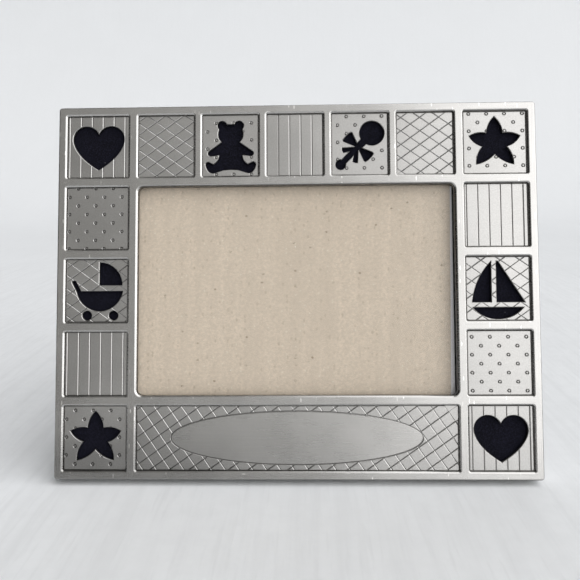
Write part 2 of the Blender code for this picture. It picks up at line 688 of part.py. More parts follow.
def build_buttons(group, cutter_group, finishes, stand):
    """The four turn buttons that hold the board in, and their screws."""
    half = BUTTON_WIDTH / 2
    heel = [(x, y) for x, y in arc(0, 0, half, 180, 360, half / 4)]
    shoulder = BUTTON_REACH - half
    tip = [(x, shoulder + y) for x, y in arc(0, 0, half, 0, 180, half / 4)]
    shape = prism([joined_exact(heel, tip), circle(0, 0, SCREW_HOLE_RADIUS)], BUTTON_REAR, BUTTON_FRONT)
    button_mesh = bpy.data.meshes.new("turn_button")
    shape.to_mesh(button_mesh)
    shape.free()
    head_front = BUTTON_REAR - GAP
    head_rear = head_front - SCREW_HEAD_HEIGHT
    arm, width = RECESS_LENGTH / 2, RECESS_WIDTH / 2
    corner = [(arm, -width / 2), (arm, width / 2), (width, width)]
    cross = [(x * c - y * s, x * s + y * c) for c, s in ((1, 0), (0, 1), (-1, 0), (0, -1)) for x, y in corner]
    for place, (x, y, turn) in button_places().items():
        add_object(f"turn_button_{place}", button_mesh, group, finishes["steel"], stand, (x, y, 0), turn)
        screw = bmesh.new()
        add_cylinder(screw, SCREW_HEAD_RADIUS, head_rear, head_front, 20)
        rim = [e for e in screw.edges if all(abs(v.co.z - head_rear) < 1e-6 for v in e.verts)]
        round_edges(screw, rim, SCREW_HEAD_HEIGHT / 2, 2)
        head = add_mesh(f"button_screw_{place}", screw, group, finishes["steel"], stand, (x, y, 0))
        shank = bmesh.new()
        add_cylinder(shank, SCREW_RADIUS, head_front - LEAF_THICKNESS / 4, head_front + SCREW_LENGTH, 12)
        shank_item = as_cutter(add_mesh(f"screw_shank_{place}", shank, cutter_group, None, stand, (x, y, 0)))
        combine(head, shank_item, "UNION")
        recess = prism([cross], head_rear - OVERCUT, head_rear + RECESS_DEPTH)
        recess_item = as_cutter(add_mesh(f"screw_recess_{place}", recess, cutter_group, None, stand, (x, y, 0)))
        combine(head, recess_item)


def joined_exact(*runs):
    """One outline in metres out of several runs, without repeated points."""
    points = []
    for point in [p for run in runs for p in run]:
        if not points or math.dist(points[-1], point) > 0.01 * MM:
            points.append(point)
    return points


def add_rivet(name, place, head_side, length, group, cutter_group, finish, parent):
    """A rivet whose shank runs forward from the front of its head at head_side."""
    bm = bmesh.new()
    add_cylinder(bm, RIVET_HEAD_RADIUS, head_side - RIVET_HEAD_HEIGHT, head_side, 16)
    rear = [e for e in bm.edges if all(abs(v.co.z - head_side + RIVET_HEAD_HEIGHT) < 1e-6 for v in e.verts)]
    round_edges(bm, rear, RIVET_HEAD_HEIGHT * 0.7, 2)
    rivet = add_mesh(name, bm, group, finish, parent, (*place, 0))
    shank = bmesh.new()
    add_cylinder(shank, RIVET_RADIUS, head_side - RIVET_HEAD_HEIGHT / 4, head_side + length, 12)
    combine(rivet, as_cutter(add_mesh(name + "_shank", shank, cutter_group, None, parent, (*place, 0))), "UNION")


def build_leaf(name, plates, knuckles, side, group, cutter_group, finish, parent):
    """One hinge leaf: flat plates joined to round knuckles, bored for the pin and drilled for rivets."""
    bm = bmesh.new()
    add_box(bm, *plates[0])
    leaf = add_mesh(name, bm, group, finish, parent)
    for i, (low, high) in enumerate(plates[1:]):
        extra = bmesh.new()
        add_box(extra, low, high)
        combine(leaf, as_cutter(add_mesh(f"{name}_plate_{i}", extra, cutter_group, None, parent)), "UNION")
    barrel = bmesh.new()
    bore = bmesh.new()
    for low, high in knuckles:
        add_cylinder(barrel, BARREL_RADIUS, low, high, 24, "X")
        add_cylinder(bore, BORE_RADIUS, low - OVERCUT / 10, high + OVERCUT / 10, 16, "X")
    combine(leaf, as_cutter(add_mesh(f"{name}_barrel", barrel, cutter_group, None, parent)), "UNION")
    combine(leaf, as_cutter(add_mesh(f"{name}_bore", bore, cutter_group, None, parent)))
    holes = bmesh.new()
    middle = side * (LEAF_OFFSET + LEAF_THICKNESS / 2)
    for x, y in hinge_rivets(side):
        add_cylinder(
            holes, RIVET_HOLE_RADIUS, middle - LEAF_THICKNESS, middle + LEAF_THICKNESS, 12, at=(x, y)
        )
    combine(leaf, as_cutter(add_mesh(f"{name}_holes", holes, cutter_group, None, parent)))


def build_hinge(group, cutter_group, finish, hinge, leg_pivot):
    """The two leaves, the pin and the rivets. The leg's leaf has a tail that stops it when open."""
    half = LEAF_WIDTH / 2
    split = KNUCKLE_LENGTH / 2
    near, far = KNUCKLE_CLEAR, KNUCKLE_CLEAR + LEAF_HEIGHT
    inner, outer = LEAF_OFFSET, LEAF_OFFSET + LEAF_THICKNESS
    board_plates = [
        ((-half, near, inner), (half, far, outer)),
        ((-half, 0.0, inner), (-split - GAP, near + GAP, outer)),
        ((split + GAP, 0.0, inner), (half, near + GAP, outer)),
    ]
    board_knuckles = [(-half, -split - GAP), (split + GAP, half)]
    build_leaf("hinge_leaf_board", board_plates, board_knuckles, 1, group, cutter_group, finish, hinge)
    leg_plates = [
        ((-half, -far, -outer), (half, -near, -inner)),
        ((-split, -near - GAP, -outer), (split, STOP_TAIL, -inner)),
    ]
    build_leaf("hinge_leaf_leg", leg_plates, [(-split, split)], -1, group, cutter_group, finish, leg_pivot)
    pin = bmesh.new()
    add_cylinder(pin, PIN_RADIUS, -half - PIN_OVERHANG, half + PIN_OVERHANG, 16, "X")
    add_mesh("hinge_pin", pin, group, finish, hinge)
    board_length = GAP + LEAF_THICKNESS + GAP + FELT_THICKNESS + GAP + BOARD_THICKNESS - GAP
    leg_length = GAP + LEAF_THICKNESS + GAP + FELT_THICKNESS + GAP + LEG_THICKNESS - GAP
    for i, place in enumerate(hinge_rivets(1)):
        add_rivet(
            f"board_rivet_{i + 1}", place, LEAF_OFFSET - GAP, board_length, group, cutter_group, finish, hinge
        )
    for i, place in enumerate(hinge_rivets(-1)):
        add_rivet(
            f"leg_rivet_{i + 1}", place, -BARREL_RADIUS - GAP, leg_length, group, cutter_group, finish, leg_pivot
        )


def leg_outline(border, foot):
    """The leg's outline, wider at the foot, drawn in by a border."""
    top = -KNUCKLE_CLEAR - border
    upper, lower = LEG_TOP_WIDTH / 2 - border, LEG_FOOT_WIDTH / 2 - border
    right = [(lower - LEG_CORNER + x, foot + LEG_CORNER + y) for x, y in arc(0, 0, LEG_CORNER, -90, -5, LEG_CORNER / 3)]
    left = [(-x, y) for x, y in reversed(right)]
    return joined_exact(right, [(upper, top), (-upper, top)], left)


def slant_foot(bm, foot, front):
    """Slope the end of the leg so that it stands flat when the leg is open."""
    for vert in bm.verts:
        if vert.co.y < foot + LEG_CORNER + OVERCUT / 10:
            vert.co.y += (vert.co.z - front) * math.tan(FOOT_TILT)


def build_leg(group, finishes, leg_pivot):
    """The easel leg and the felt on its back."""
    holes = [circle(x, y, RIVET_HOLE_RADIUS) for x, y in hinge_rivets(-1)]
    foot = -LEG_LENGTH + LEG_FRONT * math.tan(FOOT_TILT)
    leg = prism([leg_outline(0.0, foot), *holes], LEG_REAR, LEG_FRONT)
    slant_foot(leg, foot, LEG_FRONT)
    add_mesh("easel_leg", leg, group, finishes["hardboard"], leg_pivot)
    felt_front = LEG_REAR - GAP
    felt = prism(
        [leg_outline(LEG_FELT_BORDER, foot + LEG_FELT_BORDER), *holes], felt_front - FELT_THICKNESS, felt_front
    )
    add_mesh("leg_felt", felt, group, finishes["velvet"], leg_pivot)


def make_empty(name, group, parent=None):
    """An empty that carries other pieces."""
    item = bpy.data.objects.new(name, None)
    group.objects.link(item)
    item.parent = parent
    return item


def settle(stand, group):
    """Stand the assembly on the floor with the middle of its bounding box over the origin."""
    bpy.context.view_layer.update()
    depsgraph = bpy.context.evaluated_depsgraph_get()
    corners = []
    for item in group.objects:
        if item.type == "MESH":
            evaluated = item.evaluated_get(depsgraph)
            corners += [evaluated.matrix_world @ vert.co for vert in evaluated.data.vertices]
    low = [min(c[k] for c in corners) for k in range(3)]
    high = [max(c[k] for c in corners) for k in range(3)]
    stand.location = (-(low[0] + high[0]) / 2, -(low[1] + high[1]) / 2, -low[2])


def main():
    """Build the whole frame."""
    clear_scene()
    group = make_collection("baby_photo_frame")
    cutter_group = make_collection("cutters")
    finishes = {
        "pewter": make_material("satin_pewter", (0.47, 0.46, 0.44), 0.36, 1.0),
        "velvet": make_material("black_velvet", (0.006, 0.006, 0.009), 0.95),
        "hardboard": make_material("black_hardboard", (0.02, 0.019, 0.018), 0.8),
        "glass": make_material("clear_glass", (0.95, 0.97, 0.96), 0.03, 0.0, 1.0),
        "kraft_card": make_material("kraft_card", (0.56, 0.48, 0.39), 0.85),
        "steel": make_material("zinc_plated_steel", (0.62, 0.62, 0.6), 0.3, 1.0),
    }
    stand = make_empty("frame_lean", group)
    stand.rotation_euler.x = math.pi / 2 - LEAN
    hinge = make_empty("hinge_line", group, stand)
    hinge.location = (0.0, HINGE_Y, HINGE_Z)
    leg_pivot = make_empty("leg_pivot", group, hinge)
    leg_pivot.rotation_euler.x = OPEN_ANGLE
    build_front_casting(group, cutter_group, finishes["pewter"], stand)
    build_stack(group, finishes, stand)
    build_buttons(group, cutter_group, finishes, stand)
    build_hinge(group, cutter_group, finishes["steel"], hinge, leg_pivot)
    build_leg(group, finishes, leg_pivot)
    settle(stand, group)


main()
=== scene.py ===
"""Baby photo frame of satin cast metal: finishes, fine face, back hardware and studio.

The pieces are modelled in the plane of the frame, where X runs along it, Y up its face and Z out towards
the viewer, with Y = 0 at the bottom edge and Z = 0 at the top of the ribs, and are then leaned back with it.
"""

import math
from collections import namedtuple
from types import SimpleNamespace

import bmesh
import bpy
from mathutils import Matrix, Vector


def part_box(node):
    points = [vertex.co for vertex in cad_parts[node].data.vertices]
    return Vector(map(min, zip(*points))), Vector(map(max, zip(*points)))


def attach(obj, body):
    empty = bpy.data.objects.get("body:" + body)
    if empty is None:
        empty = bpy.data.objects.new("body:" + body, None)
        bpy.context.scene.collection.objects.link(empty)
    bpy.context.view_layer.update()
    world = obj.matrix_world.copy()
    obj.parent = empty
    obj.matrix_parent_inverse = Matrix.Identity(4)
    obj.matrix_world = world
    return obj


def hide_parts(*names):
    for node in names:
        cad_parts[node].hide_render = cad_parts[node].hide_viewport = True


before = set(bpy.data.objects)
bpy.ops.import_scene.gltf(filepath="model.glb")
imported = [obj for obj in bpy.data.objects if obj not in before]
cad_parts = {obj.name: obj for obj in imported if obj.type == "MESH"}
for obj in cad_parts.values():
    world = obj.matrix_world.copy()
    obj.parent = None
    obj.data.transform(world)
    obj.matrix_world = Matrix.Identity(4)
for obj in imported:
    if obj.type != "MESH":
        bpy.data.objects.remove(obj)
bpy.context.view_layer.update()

bl_info = {
    "name": "Baby Photo Frame",
    "version": (1, 0, 0),
    "blender": (4, 5, 0),
    "location": "View3D > Sidebar > Photo Frame",
    "description": "Dresses a cast metal baby photo frame with its face, finishes, back and studio",
    "category": "Object",
}

MM = 0.001

# Stance of the frame and heights in its stack, below the top of the ribs
LEAN = math.radians(15.0)
OPEN_ANGLE = math.radians(25.0)
GAP = 0.3 * MM
OVERCUT = 1.0 * MM
CELL_DEPTH = 1.4 * MM
FLOOR_THICKNESS = 1.6 * MM
GLASS_THICKNESS = 2.0 * MM
FLOOR_Z = -CELL_DEPTH
FACE_REAR = FLOOR_Z - FLOOR_THICKNESS
GLASS_FRONT = FACE_REAR - GAP
GLASS_REAR = GLASS_FRONT - GLASS_THICKNESS
FELT_REAR = -10.9 * MM
SKIRT_REAR = -11.2 * MM
BUTTON_FRONT = FELT_REAR - GAP

# Rows and columns of the face, and the glass behind its window
ROWS = 5
TOP_CELLS = 5
WINDOW_EXTRA_RUN = 0.1 * MM
GLASS_LAP = 4.65 * MM
POCKET_CLEARANCE = 0.6 * MM

# Block that the face is cut from, and its hollow back
OUTER_CORNER = 1.3 * MM
TOP_ROUND = 0.7 * MM
REAR_ROUND = 0.3 * MM
SKIRT_THICKNESS = 1.8 * MM
TRAY_CORNER = 0.35 * MM

# Walls of the cells, whose steep foot takes the last of their run, and the tiles between engraved lines
WALL_SLOPE = math.radians(43.0)
WALL_FOOT = 0.82
LATTICE_ANGLE = math.radians(35.0)
SNAP = 0.15 * MM
LEAST_TILE = 0.6 * MM**2
SLOPED_EDGE = 0.8

# Oval of the bottom panel, with the groove round it
OVAL_SIDES = 200
OVAL_END_SPACE = 15.4 * MM
OVAL_SIDE_SPACE = 2.4 * MM
OVAL_GROOVE_RADIUS = 0.46 * MM
OVAL_GROOVE_Z = FLOOR_Z + 0.27 * MM

# Punched dots, whose floor and raised centre are shares of their radius
DOT_FLOOR = 0.69
DOT_CENTRE = 0.36
DOT_DEPTH = 0.24 * MM
DOT_SPACE = 0.25 * MM
DOT_STEPS = range(-9, 10)

# Icons are drawn in millimetres on a tile, and fill the same share of their own cell's floor
WIDE_TILE = 27.5
NARROW_TILE = 25.15
ARC_STEP = 0.5
CUT_STEEPNESS = 0.84

# Hinge and leg
BARREL_RADIUS = 2.125 * MM
BORE_RADIUS = 1.35 * MM
PIN_RADIUS = 1.05 * MM
LEAF_OFFSET = 1.275 * MM
LEAF_THICKNESS = 0.8 * MM
KNUCKLE_CLEAR = BARREL_RADIUS + 1.5 * GAP
LEAF_WIDTH = 30.0 * MM
LEAF_HEIGHT = 10.5 * MM
KNUCKLE_LENGTH = 13.0 * MM
RIVET_SPACING = 21.0 * MM
RIVET_INSET = 3.6 * MM
LEG_REAR = -0.175 * MM
LEG_FRONT = 1.925 * MM
HINGE_DROP = 13.5 * MM
LEAF_CORNER = 1.2 * MM
PIN_END = 0.4 * MM
RIVET_HOLE = 1.2 * MM
LEG_SHOULDER = 1.5 * MM
STOP_TAIL = (LEAF_OFFSET - GAP + LEAF_OFFSET * math.cos(OPEN_ANGLE)) / math.sin(OPEN_ANGLE)
FOOT_TILT = OPEN_ANGLE - LEAN

# Rivets, and the screws of the turn buttons, whose places are measured from the glass pocket's corners
RIVET_SHANK = 0.9 * MM
BOARD_RIVET_REACH = 4.5 * MM
LEG_RIVET_REACH = 4.0 * MM
BUTTON_INSET = 24.0 * MM
BUTTON_OUTSET = 5.0 * MM
SCREW_HOLE = 1.4 * MM
SCREW_SHANK = 1.1 * MM
SCREW_TIP = 0.7 * MM
SCREW_REACH = 6.0 * MM

# Floor that curves up into a backdrop, in metres, and the camera before it
SWEEP_HALF = 3.5
SWEEP_FRONT = -3.0
SWEEP_REAR = 1.0
SWEEP_RADIUS = 0.9
SWEEP_RISE = 1.6
CAMERA_PLACE = (0.0050745, -0.2770313, 0.1400923)
CAMERA_TURN = (78.034, 0.67662, 1.486)

# Colours of small things that a user wouldn't change, among them a painted reflection strip and a painted
# shadow line on the card, and the pane's index of refraction
# BLACK is also the colour of the painted shade at the lower left of the cast metal
BLACK = (0.0, 0.0, 0.0)
LINT = (0.16, 0.16, 0.17)
BROWN_FIBRE = (0.062, 0.045, 0.03)
PALE_FIBRE = (0.80, 0.74, 0.65)
# A painted reflection strip along the card's right edge
PAINTED_REFLECTION = (0.92, 0.86, 0.92)
# A painted shadow at the card's right edge, beside the window's wall
PAINTED_EDGE_SHADOW = (0.03, 0.026, 0.025)
OPEN_PANE = (0.93, 0.95, 0.94)
GLASS_INDEX = 1.2

Cell = namedtuple("Cell", "x y width height pattern phase icon")


def length(name, description, default):
    """A length that a user can change."""
    return bpy.props.FloatProperty(
        name=name, description=description, default=default, min=0.0, precision=5, unit="LENGTH"
    )


def tint(name, description, default):
    """A colour that a user can change."""
    return bpy.props.FloatVectorProperty(
        name=name, description=description, default=default, size=3, min=0.0, max=1.0, subtype="COLOR"
    )


def share(name, description, default):
    """A number from 0 to 1 that a user can change."""
    return bpy.props.FloatProperty(
        name=name, description=description, default=default, min=0.0, max=1.0, subtype="FACTOR"
    )


def number(name, description, default, least):
    """Any other number that a user can change."""
    return bpy.props.FloatProperty(name=name, description=description, default=default, min=least)


class CastFaceSettings(bpy.types.PropertyGroup):
    """Sizes and finish of the cast front."""

    width: length("Width", "Width of the cast front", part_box("front_casting")[1].x * 2)
    height: length("Height", "Height of the cast front along its face", 168.0 * MM)
    rim: length("Rim", "Width of the outer rim", 2.95 * MM)
    rib: length("Rib", "Width of the ribs round the window", 2.55 * MM)
    fine_rib: length("Fine Rib", "Width of the ribs between the top cells", 1.9 * MM)
    side_cell: length("Side Cell", "Width of the cells beside the window", 30.1 * MM)
    cell_corner: length("Cell Corner", "Corner radius of the cells", 1.5 * MM)
    window_corner: length("Window Corner", "Corner radius of the window", 3.6 * MM)
    lip_round: length("Lip Round", "Rounding where a rib turns down into a cell", 0.65 * MM)
    wall_run: length("Wall Run", "How far a cell's wall slopes in", 1.0 * MM)
    groove_width: length("Groove Width", "Width of the engraved lines", 0.68 * MM)
    groove_depth: length("Groove Depth", "Depth of the engraved lines", 0.2 * MM)
    stripe_pitch: length("Stripe Pitch", "Distance between the stripes", 5.06 * MM)
    diamond_width: length("Diamond Width", "Width of a diamond", 8.6 * MM)
    diamond_height: length("Diamond Height", "Height of a diamond", 6.2 * MM)
    lattice_pitch: length("Lattice Pitch", "Distance between the lattice's lines", 5.03 * MM)
    dot_pitch: length("Dot Pitch", "Distance between the dots in a row", 8.0 * MM)
    dot_row_pitch: length("Dot Row Pitch", "Distance between the rows of dots", 3.96 * MM)
    dot_radius: length("Dot Radius", "Outer radius of a punched dot", 0.95 * MM)
    cut_edge: length("Cut Edge", "Width of the sloping edge round the cut-out icons", 0.38 * MM)
    metal: tint("Metal", "Colour of the satin metal", (0.47, 0.462, 0.45))
    # Patina is also the colour of the painted shade on the right and upper walls and of the painted shadow
    # line round the outer edge
    patina_and_shade: tint("Patina", "Colour of the darkened metal in the recesses", (0.10, 0.097, 0.092))
    roughness: share("Roughness", "How satin the ribs are", 0.27)


class BackingSettings(bpy.types.PropertyGroup):
    """Finish of the sheets behind the face."""

    velvet: tint("Velvet", "Colour of the velvet behind the icons", (0.005, 0.005, 0.009))
    flock: tint("Flock", "Colour of the flocked paper on the back", (0.017, 0.017, 0.02))
    board: tint("Board", "Colour of the hardboard", (0.024, 0.021, 0.018))
    card: tint("Card", "Colour of the corrugated card", (0.70, 0.567, 0.468))
    fleck: tint("Fleck", "Colour of the fibres in the card", (0.26, 0.17, 0.095))
    glass: tint("Glass", "Tint of the pane", (0.985, 0.995, 0.99))
    flute_pitch: length("Flute Pitch", "Distance between the card's flutes", 7.4 * MM)


class HardwareSettings(bpy.types.PropertyGroup):
    """Sizes and finish of the leg, hinge, buttons and screws."""

    leg_top: length("Leg Top", "Width of the leg at the hinge", 38.0 * MM)
    leg_foot: length("Leg Foot", "Width of the leg at its foot", 58.0 * MM)
    leg_corner: length("Leg Corner", "Corner radius of the foot", 3.0 * MM)
    button_width: length("Button Width", "Width of a turn button", 7.0 * MM)
    button_reach: length("Button Reach", "From the screw to the tip of a turn button", 7.0 * MM)
    button_thickness: length("Button Thickness", "Thickness of a turn button", 0.8 * MM)
    head_radius: length("Head Radius", "Radius of a screw head", 2.5 * MM)
    head_height: length("Head Height", "Height of a screw head", 1.2 * MM)
    rivet_radius: length("Rivet Radius", "Radius of a rivet head", 1.9 * MM)
    rivet_height: length("Rivet Height", "Height of a rivet head", 0.7 * MM)
    steel: tint("Steel", "Colour of the nickel-plated hardware", (0.62, 0.61, 0.58))
    roughness: share("Roughness", "How satin the hardware is", 0.27)


class StageSettings(bpy.types.PropertyGroup):
    """Camera, floor and light."""

    floor: tint("Floor", "Colour of the floor and backdrop", (0.715, 0.728, 0.744))
    dim_air: tint("Dim Side", "Soft light from the dim left side of the room", (0.42, 0.415, 0.40))
    near_air: tint("Near Light", "Soft light from behind the camera", (0.71, 0.705, 0.69))
    far_air: tint("Far Light", "Soft light from above and from the rest of the room", (0.86, 0.87, 0.89))
    screen: number("Screen Light", "Brightness of the pale screen on the right", 2.35, 0.0)
    window: number("Window Light", "Brightness of the window at the far right", 2.9, 0.0)
    lens: number("Lens", "Focal length of the camera on a 36 mm sensor", 37.738, 1.0)


def face_layout(face):
    """Distances across the cast face that follow from its sizes."""
    cell_height = (face.height - 2 * face.rim - (ROWS - 1) * face.rib) / ROWS
    inner_width = face.width - 2 * (face.rim + face.side_cell + face.rib)
    top_cell = (inner_width - (TOP_CELLS - 1) * face.fine_rib) / TOP_CELLS
    window_height = (ROWS - 2) * cell_height + (ROWS - 3) * face.rib
    window_run = face.wall_run + WINDOW_EXTRA_RUN
    return SimpleNamespace(
        cell_height=cell_height,
        row_pitch=cell_height + face.rib,
        inner_width=inner_width,
        top_cell=top_cell,
        top_pitch=top_cell + face.fine_rib,
        side_x=face.width / 2 - face.rim - face.side_cell / 2,
        bottom_y=face.rim + cell_height / 2,
        window_height=window_height,
        window_run=window_run,
        middle_y=face.height / 2,
        glass_width=inner_width - 2 * window_run + 2 * GLASS_LAP,
        glass_height=window_height - 2 * window_run + 2 * GLASS_LAP,
    )


def stance(face):
    """The matrix that leans the plane of the frame back and sets it in its place on the floor."""
    plan = face_layout(face)
    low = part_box("glass_pane")[0]
    bottom = plan.middle_y - plan.glass_height / 2
    turn = Matrix.Rotation(math.pi / 2 - LEAN, 4, "X")
    front = turn @ Vector((0, bottom, GLASS_FRONT))
    rear = turn @ Vector((0, bottom, GLASS_REAR))
    return Matrix.Translation((0.0, low.y - front.y, low.z - rear.z)) @ turn


def hinge_place(face):
    """The matrix of the hinge line in the plane of the frame."""
    plan = face_layout(face)
    y = plan.middle_y + plan.glass_height / 2 - HINGE_DROP
    return Matrix.Translation((0.0, y, FELT_REAR - GAP - BARREL_RADIUS))


def leg_place(face):
    """The matrix of the open leg in the plane of the frame."""
    return hinge_place(face) @ Matrix.Rotation(OPEN_ANGLE, 4, "X")


# Finishes


class Value:
    """A number or place that changes from point to point of a surface: the output of a shader node."""

    def __init__(self, socket):
        self.socket = socket
        self.tree = socket.id_data

    def __add__(self, other):
        return maths("ADD", self, other)

    def __sub__(self, other):
        return maths("SUBTRACT", self, other)

    def __rsub__(self, other):
        return maths("SUBTRACT", other, self)

    def __mul__(self, other):
        return maths("MULTIPLY", self, other)

    def __truediv__(self, other):
        return maths("DIVIDE", self, other)

    def __pow__(self, other):
        return maths("POWER", self, other)

    def __abs__(self):
        return maths("ABSOLUTE", self)


def feed(socket, source):
    """Give a socket a number, a colour or the value of another node."""
    if isinstance(source, Value):
        source.tree.links.new(source.socket, socket)
    elif socket.type == "RGBA":
        socket.default_value = (*source, 1.0)
    else:
        socket.default_value = source


def maths(operation, *sources):
    """The result of one operation on one or two numbers."""
    tree = next(source.tree for source in sources if isinstance(source, Value))
    step = tree.nodes.new("ShaderNodeMath")
    step.operation = operation
    for socket, source in zip(step.inputs, sources):
        feed(socket, source)
    return Value(step.outputs["Value"])


def larger(first, second):
    """The larger of two numbers."""
    return maths("MAXIMUM", first, second)


def split(place):
    """The three parts of a place."""
    parts = place.tree.nodes.new("ShaderNodeSeparateXYZ")
    feed(parts.inputs["Vector"], place)
    return [Value(parts.outputs[axis]) for axis in "XYZ"]


def mapped(place, location=(0.0, 0.0, 0.0), turn=(0.0, 0.0, 0.0), stretch=(1.0, 1.0, 1.0)):
    """A place as it is measured from another origin, on turned and stretched axes."""
    mapping = place.tree.nodes.new("ShaderNodeMapping")
    mapping.vector_type = "TEXTURE"
    for name, source in (("Vector", place), ("Location", location), ("Rotation", turn), ("Scale", stretch)):
        feed(mapping.inputs[name], source)
    return Value(mapping.outputs["Vector"])


def stretched(place, *stretch):
    """A place on stretched axes, for grain that runs one way."""
    return mapped(place, stretch=stretch)


def new_finish(name, face=None):
    """A material, and where each point of it is: in the plane of the frame, or on the object itself."""
    finish = bpy.data.materials.new(name)
    finish.use_nodes = True
    place = Value(finish.node_tree.nodes.new("ShaderNodeTexCoord").outputs["Object"])
    if face is not None:
        leaning = stance(face)
        place = mapped(place, leaning.translation, leaning.to_euler())
    return finish, place


def paint(finish, looks):
    """Give the shader of a finish its numbers, colours and values, by the names of its sockets."""
    shader = finish.node_tree.nodes["Principled BSDF"]
    for name, source in looks.items():
        feed(shader.inputs[name], source)
    return finish


def spread(value, low, high, to_low=0.0, to_high=1.0):
    """Take a number from one range smoothly into another."""
    step = value.tree.nodes.new("ShaderNodeMapRange")
    step.interpolation_type = "SMOOTHSTEP"
    sources = {"Value": value, "From Min": low, "From Max": high, "To Min": to_low, "To Max": to_high}
    for name, source in sources.items():
        feed(step.inputs[name], source)
    return Value(step.outputs["Result"])


def spread_mm(distance, low, high, to_low=0.0, to_high=1.0):
    """Take a distance between two numbers of millimetres smoothly into another range."""
    return spread(distance, low * MM, high * MM, to_low, to_high)


def spread_inset(distance, edge, start, end):
    """Rise from 0 to 1 while a distance from the middle passes between two insets, in mm, from an edge."""
    return spread(distance, edge - start * MM, edge - end * MM)


def spread_turn(turn, low, high):
    """Rise from 0 to 1 while a direction turns between two angles in degrees."""
    return spread(turn, math.radians(low), math.radians(high))


def speckle(place, scale, detail=2.0, roughness=0.5):
    """Soft noise from 0 to 1, with this many features to the metre."""
    texture = place.tree.nodes.new("ShaderNodeTexNoise")
    for name, source in (("Vector", place), ("Scale", scale), ("Detail", detail), ("Roughness", roughness)):
        feed(texture.inputs[name], source)
    return Value(texture.outputs["Fac"])


def spots(place, scale, size, rarity):
    """Spots scattered over the face's plane: 1 inside each one that is kept, 0 elsewhere."""
    texture = place.tree.nodes.new("ShaderNodeTexVoronoi")
    texture.voronoi_dimensions = "2D"
    feed(texture.inputs["Scale"], scale)
    feed(texture.inputs["Vector"], place)
    inside = spread(Value(texture.outputs["Distance"]), size, size * 0.5)
    kept = spread(split(Value(texture.outputs["Color"]))[0], rarity, rarity + 0.05)
    return inside * kept


def coats(colour, *layers):
    """A colour under several coats, each given by how much of it shows and its colour."""
    for amount, coat in layers:
        step = amount.tree.nodes.new("ShaderNodeMix")
        step.data_type = "RGBA"
        under, over = [socket for socket in step.inputs if socket.type == "RGBA"]
        feed(step.inputs["Factor"], amount)
        feed(under, colour)
        feed(over, coat)
        colour = Value(next(socket for socket in step.outputs if socket.type == "RGBA"))
    return colour


def relief(height, distance, normal=None):
    """A bump from a height of 0 to 1 that stands for this many metres."""
    bump = height.tree.nodes.new("ShaderNodeBump")
    feed(bump.inputs["Distance"], distance)
    feed(bump.inputs["Height"], height)
    if normal:
        feed(bump.inputs["Normal"], normal)
    return Value(bump.outputs["Normal"])


def shade(colour, factor):
    """A colour made darker or lighter."""
    return [min(1.0, part * factor) for part in colour]


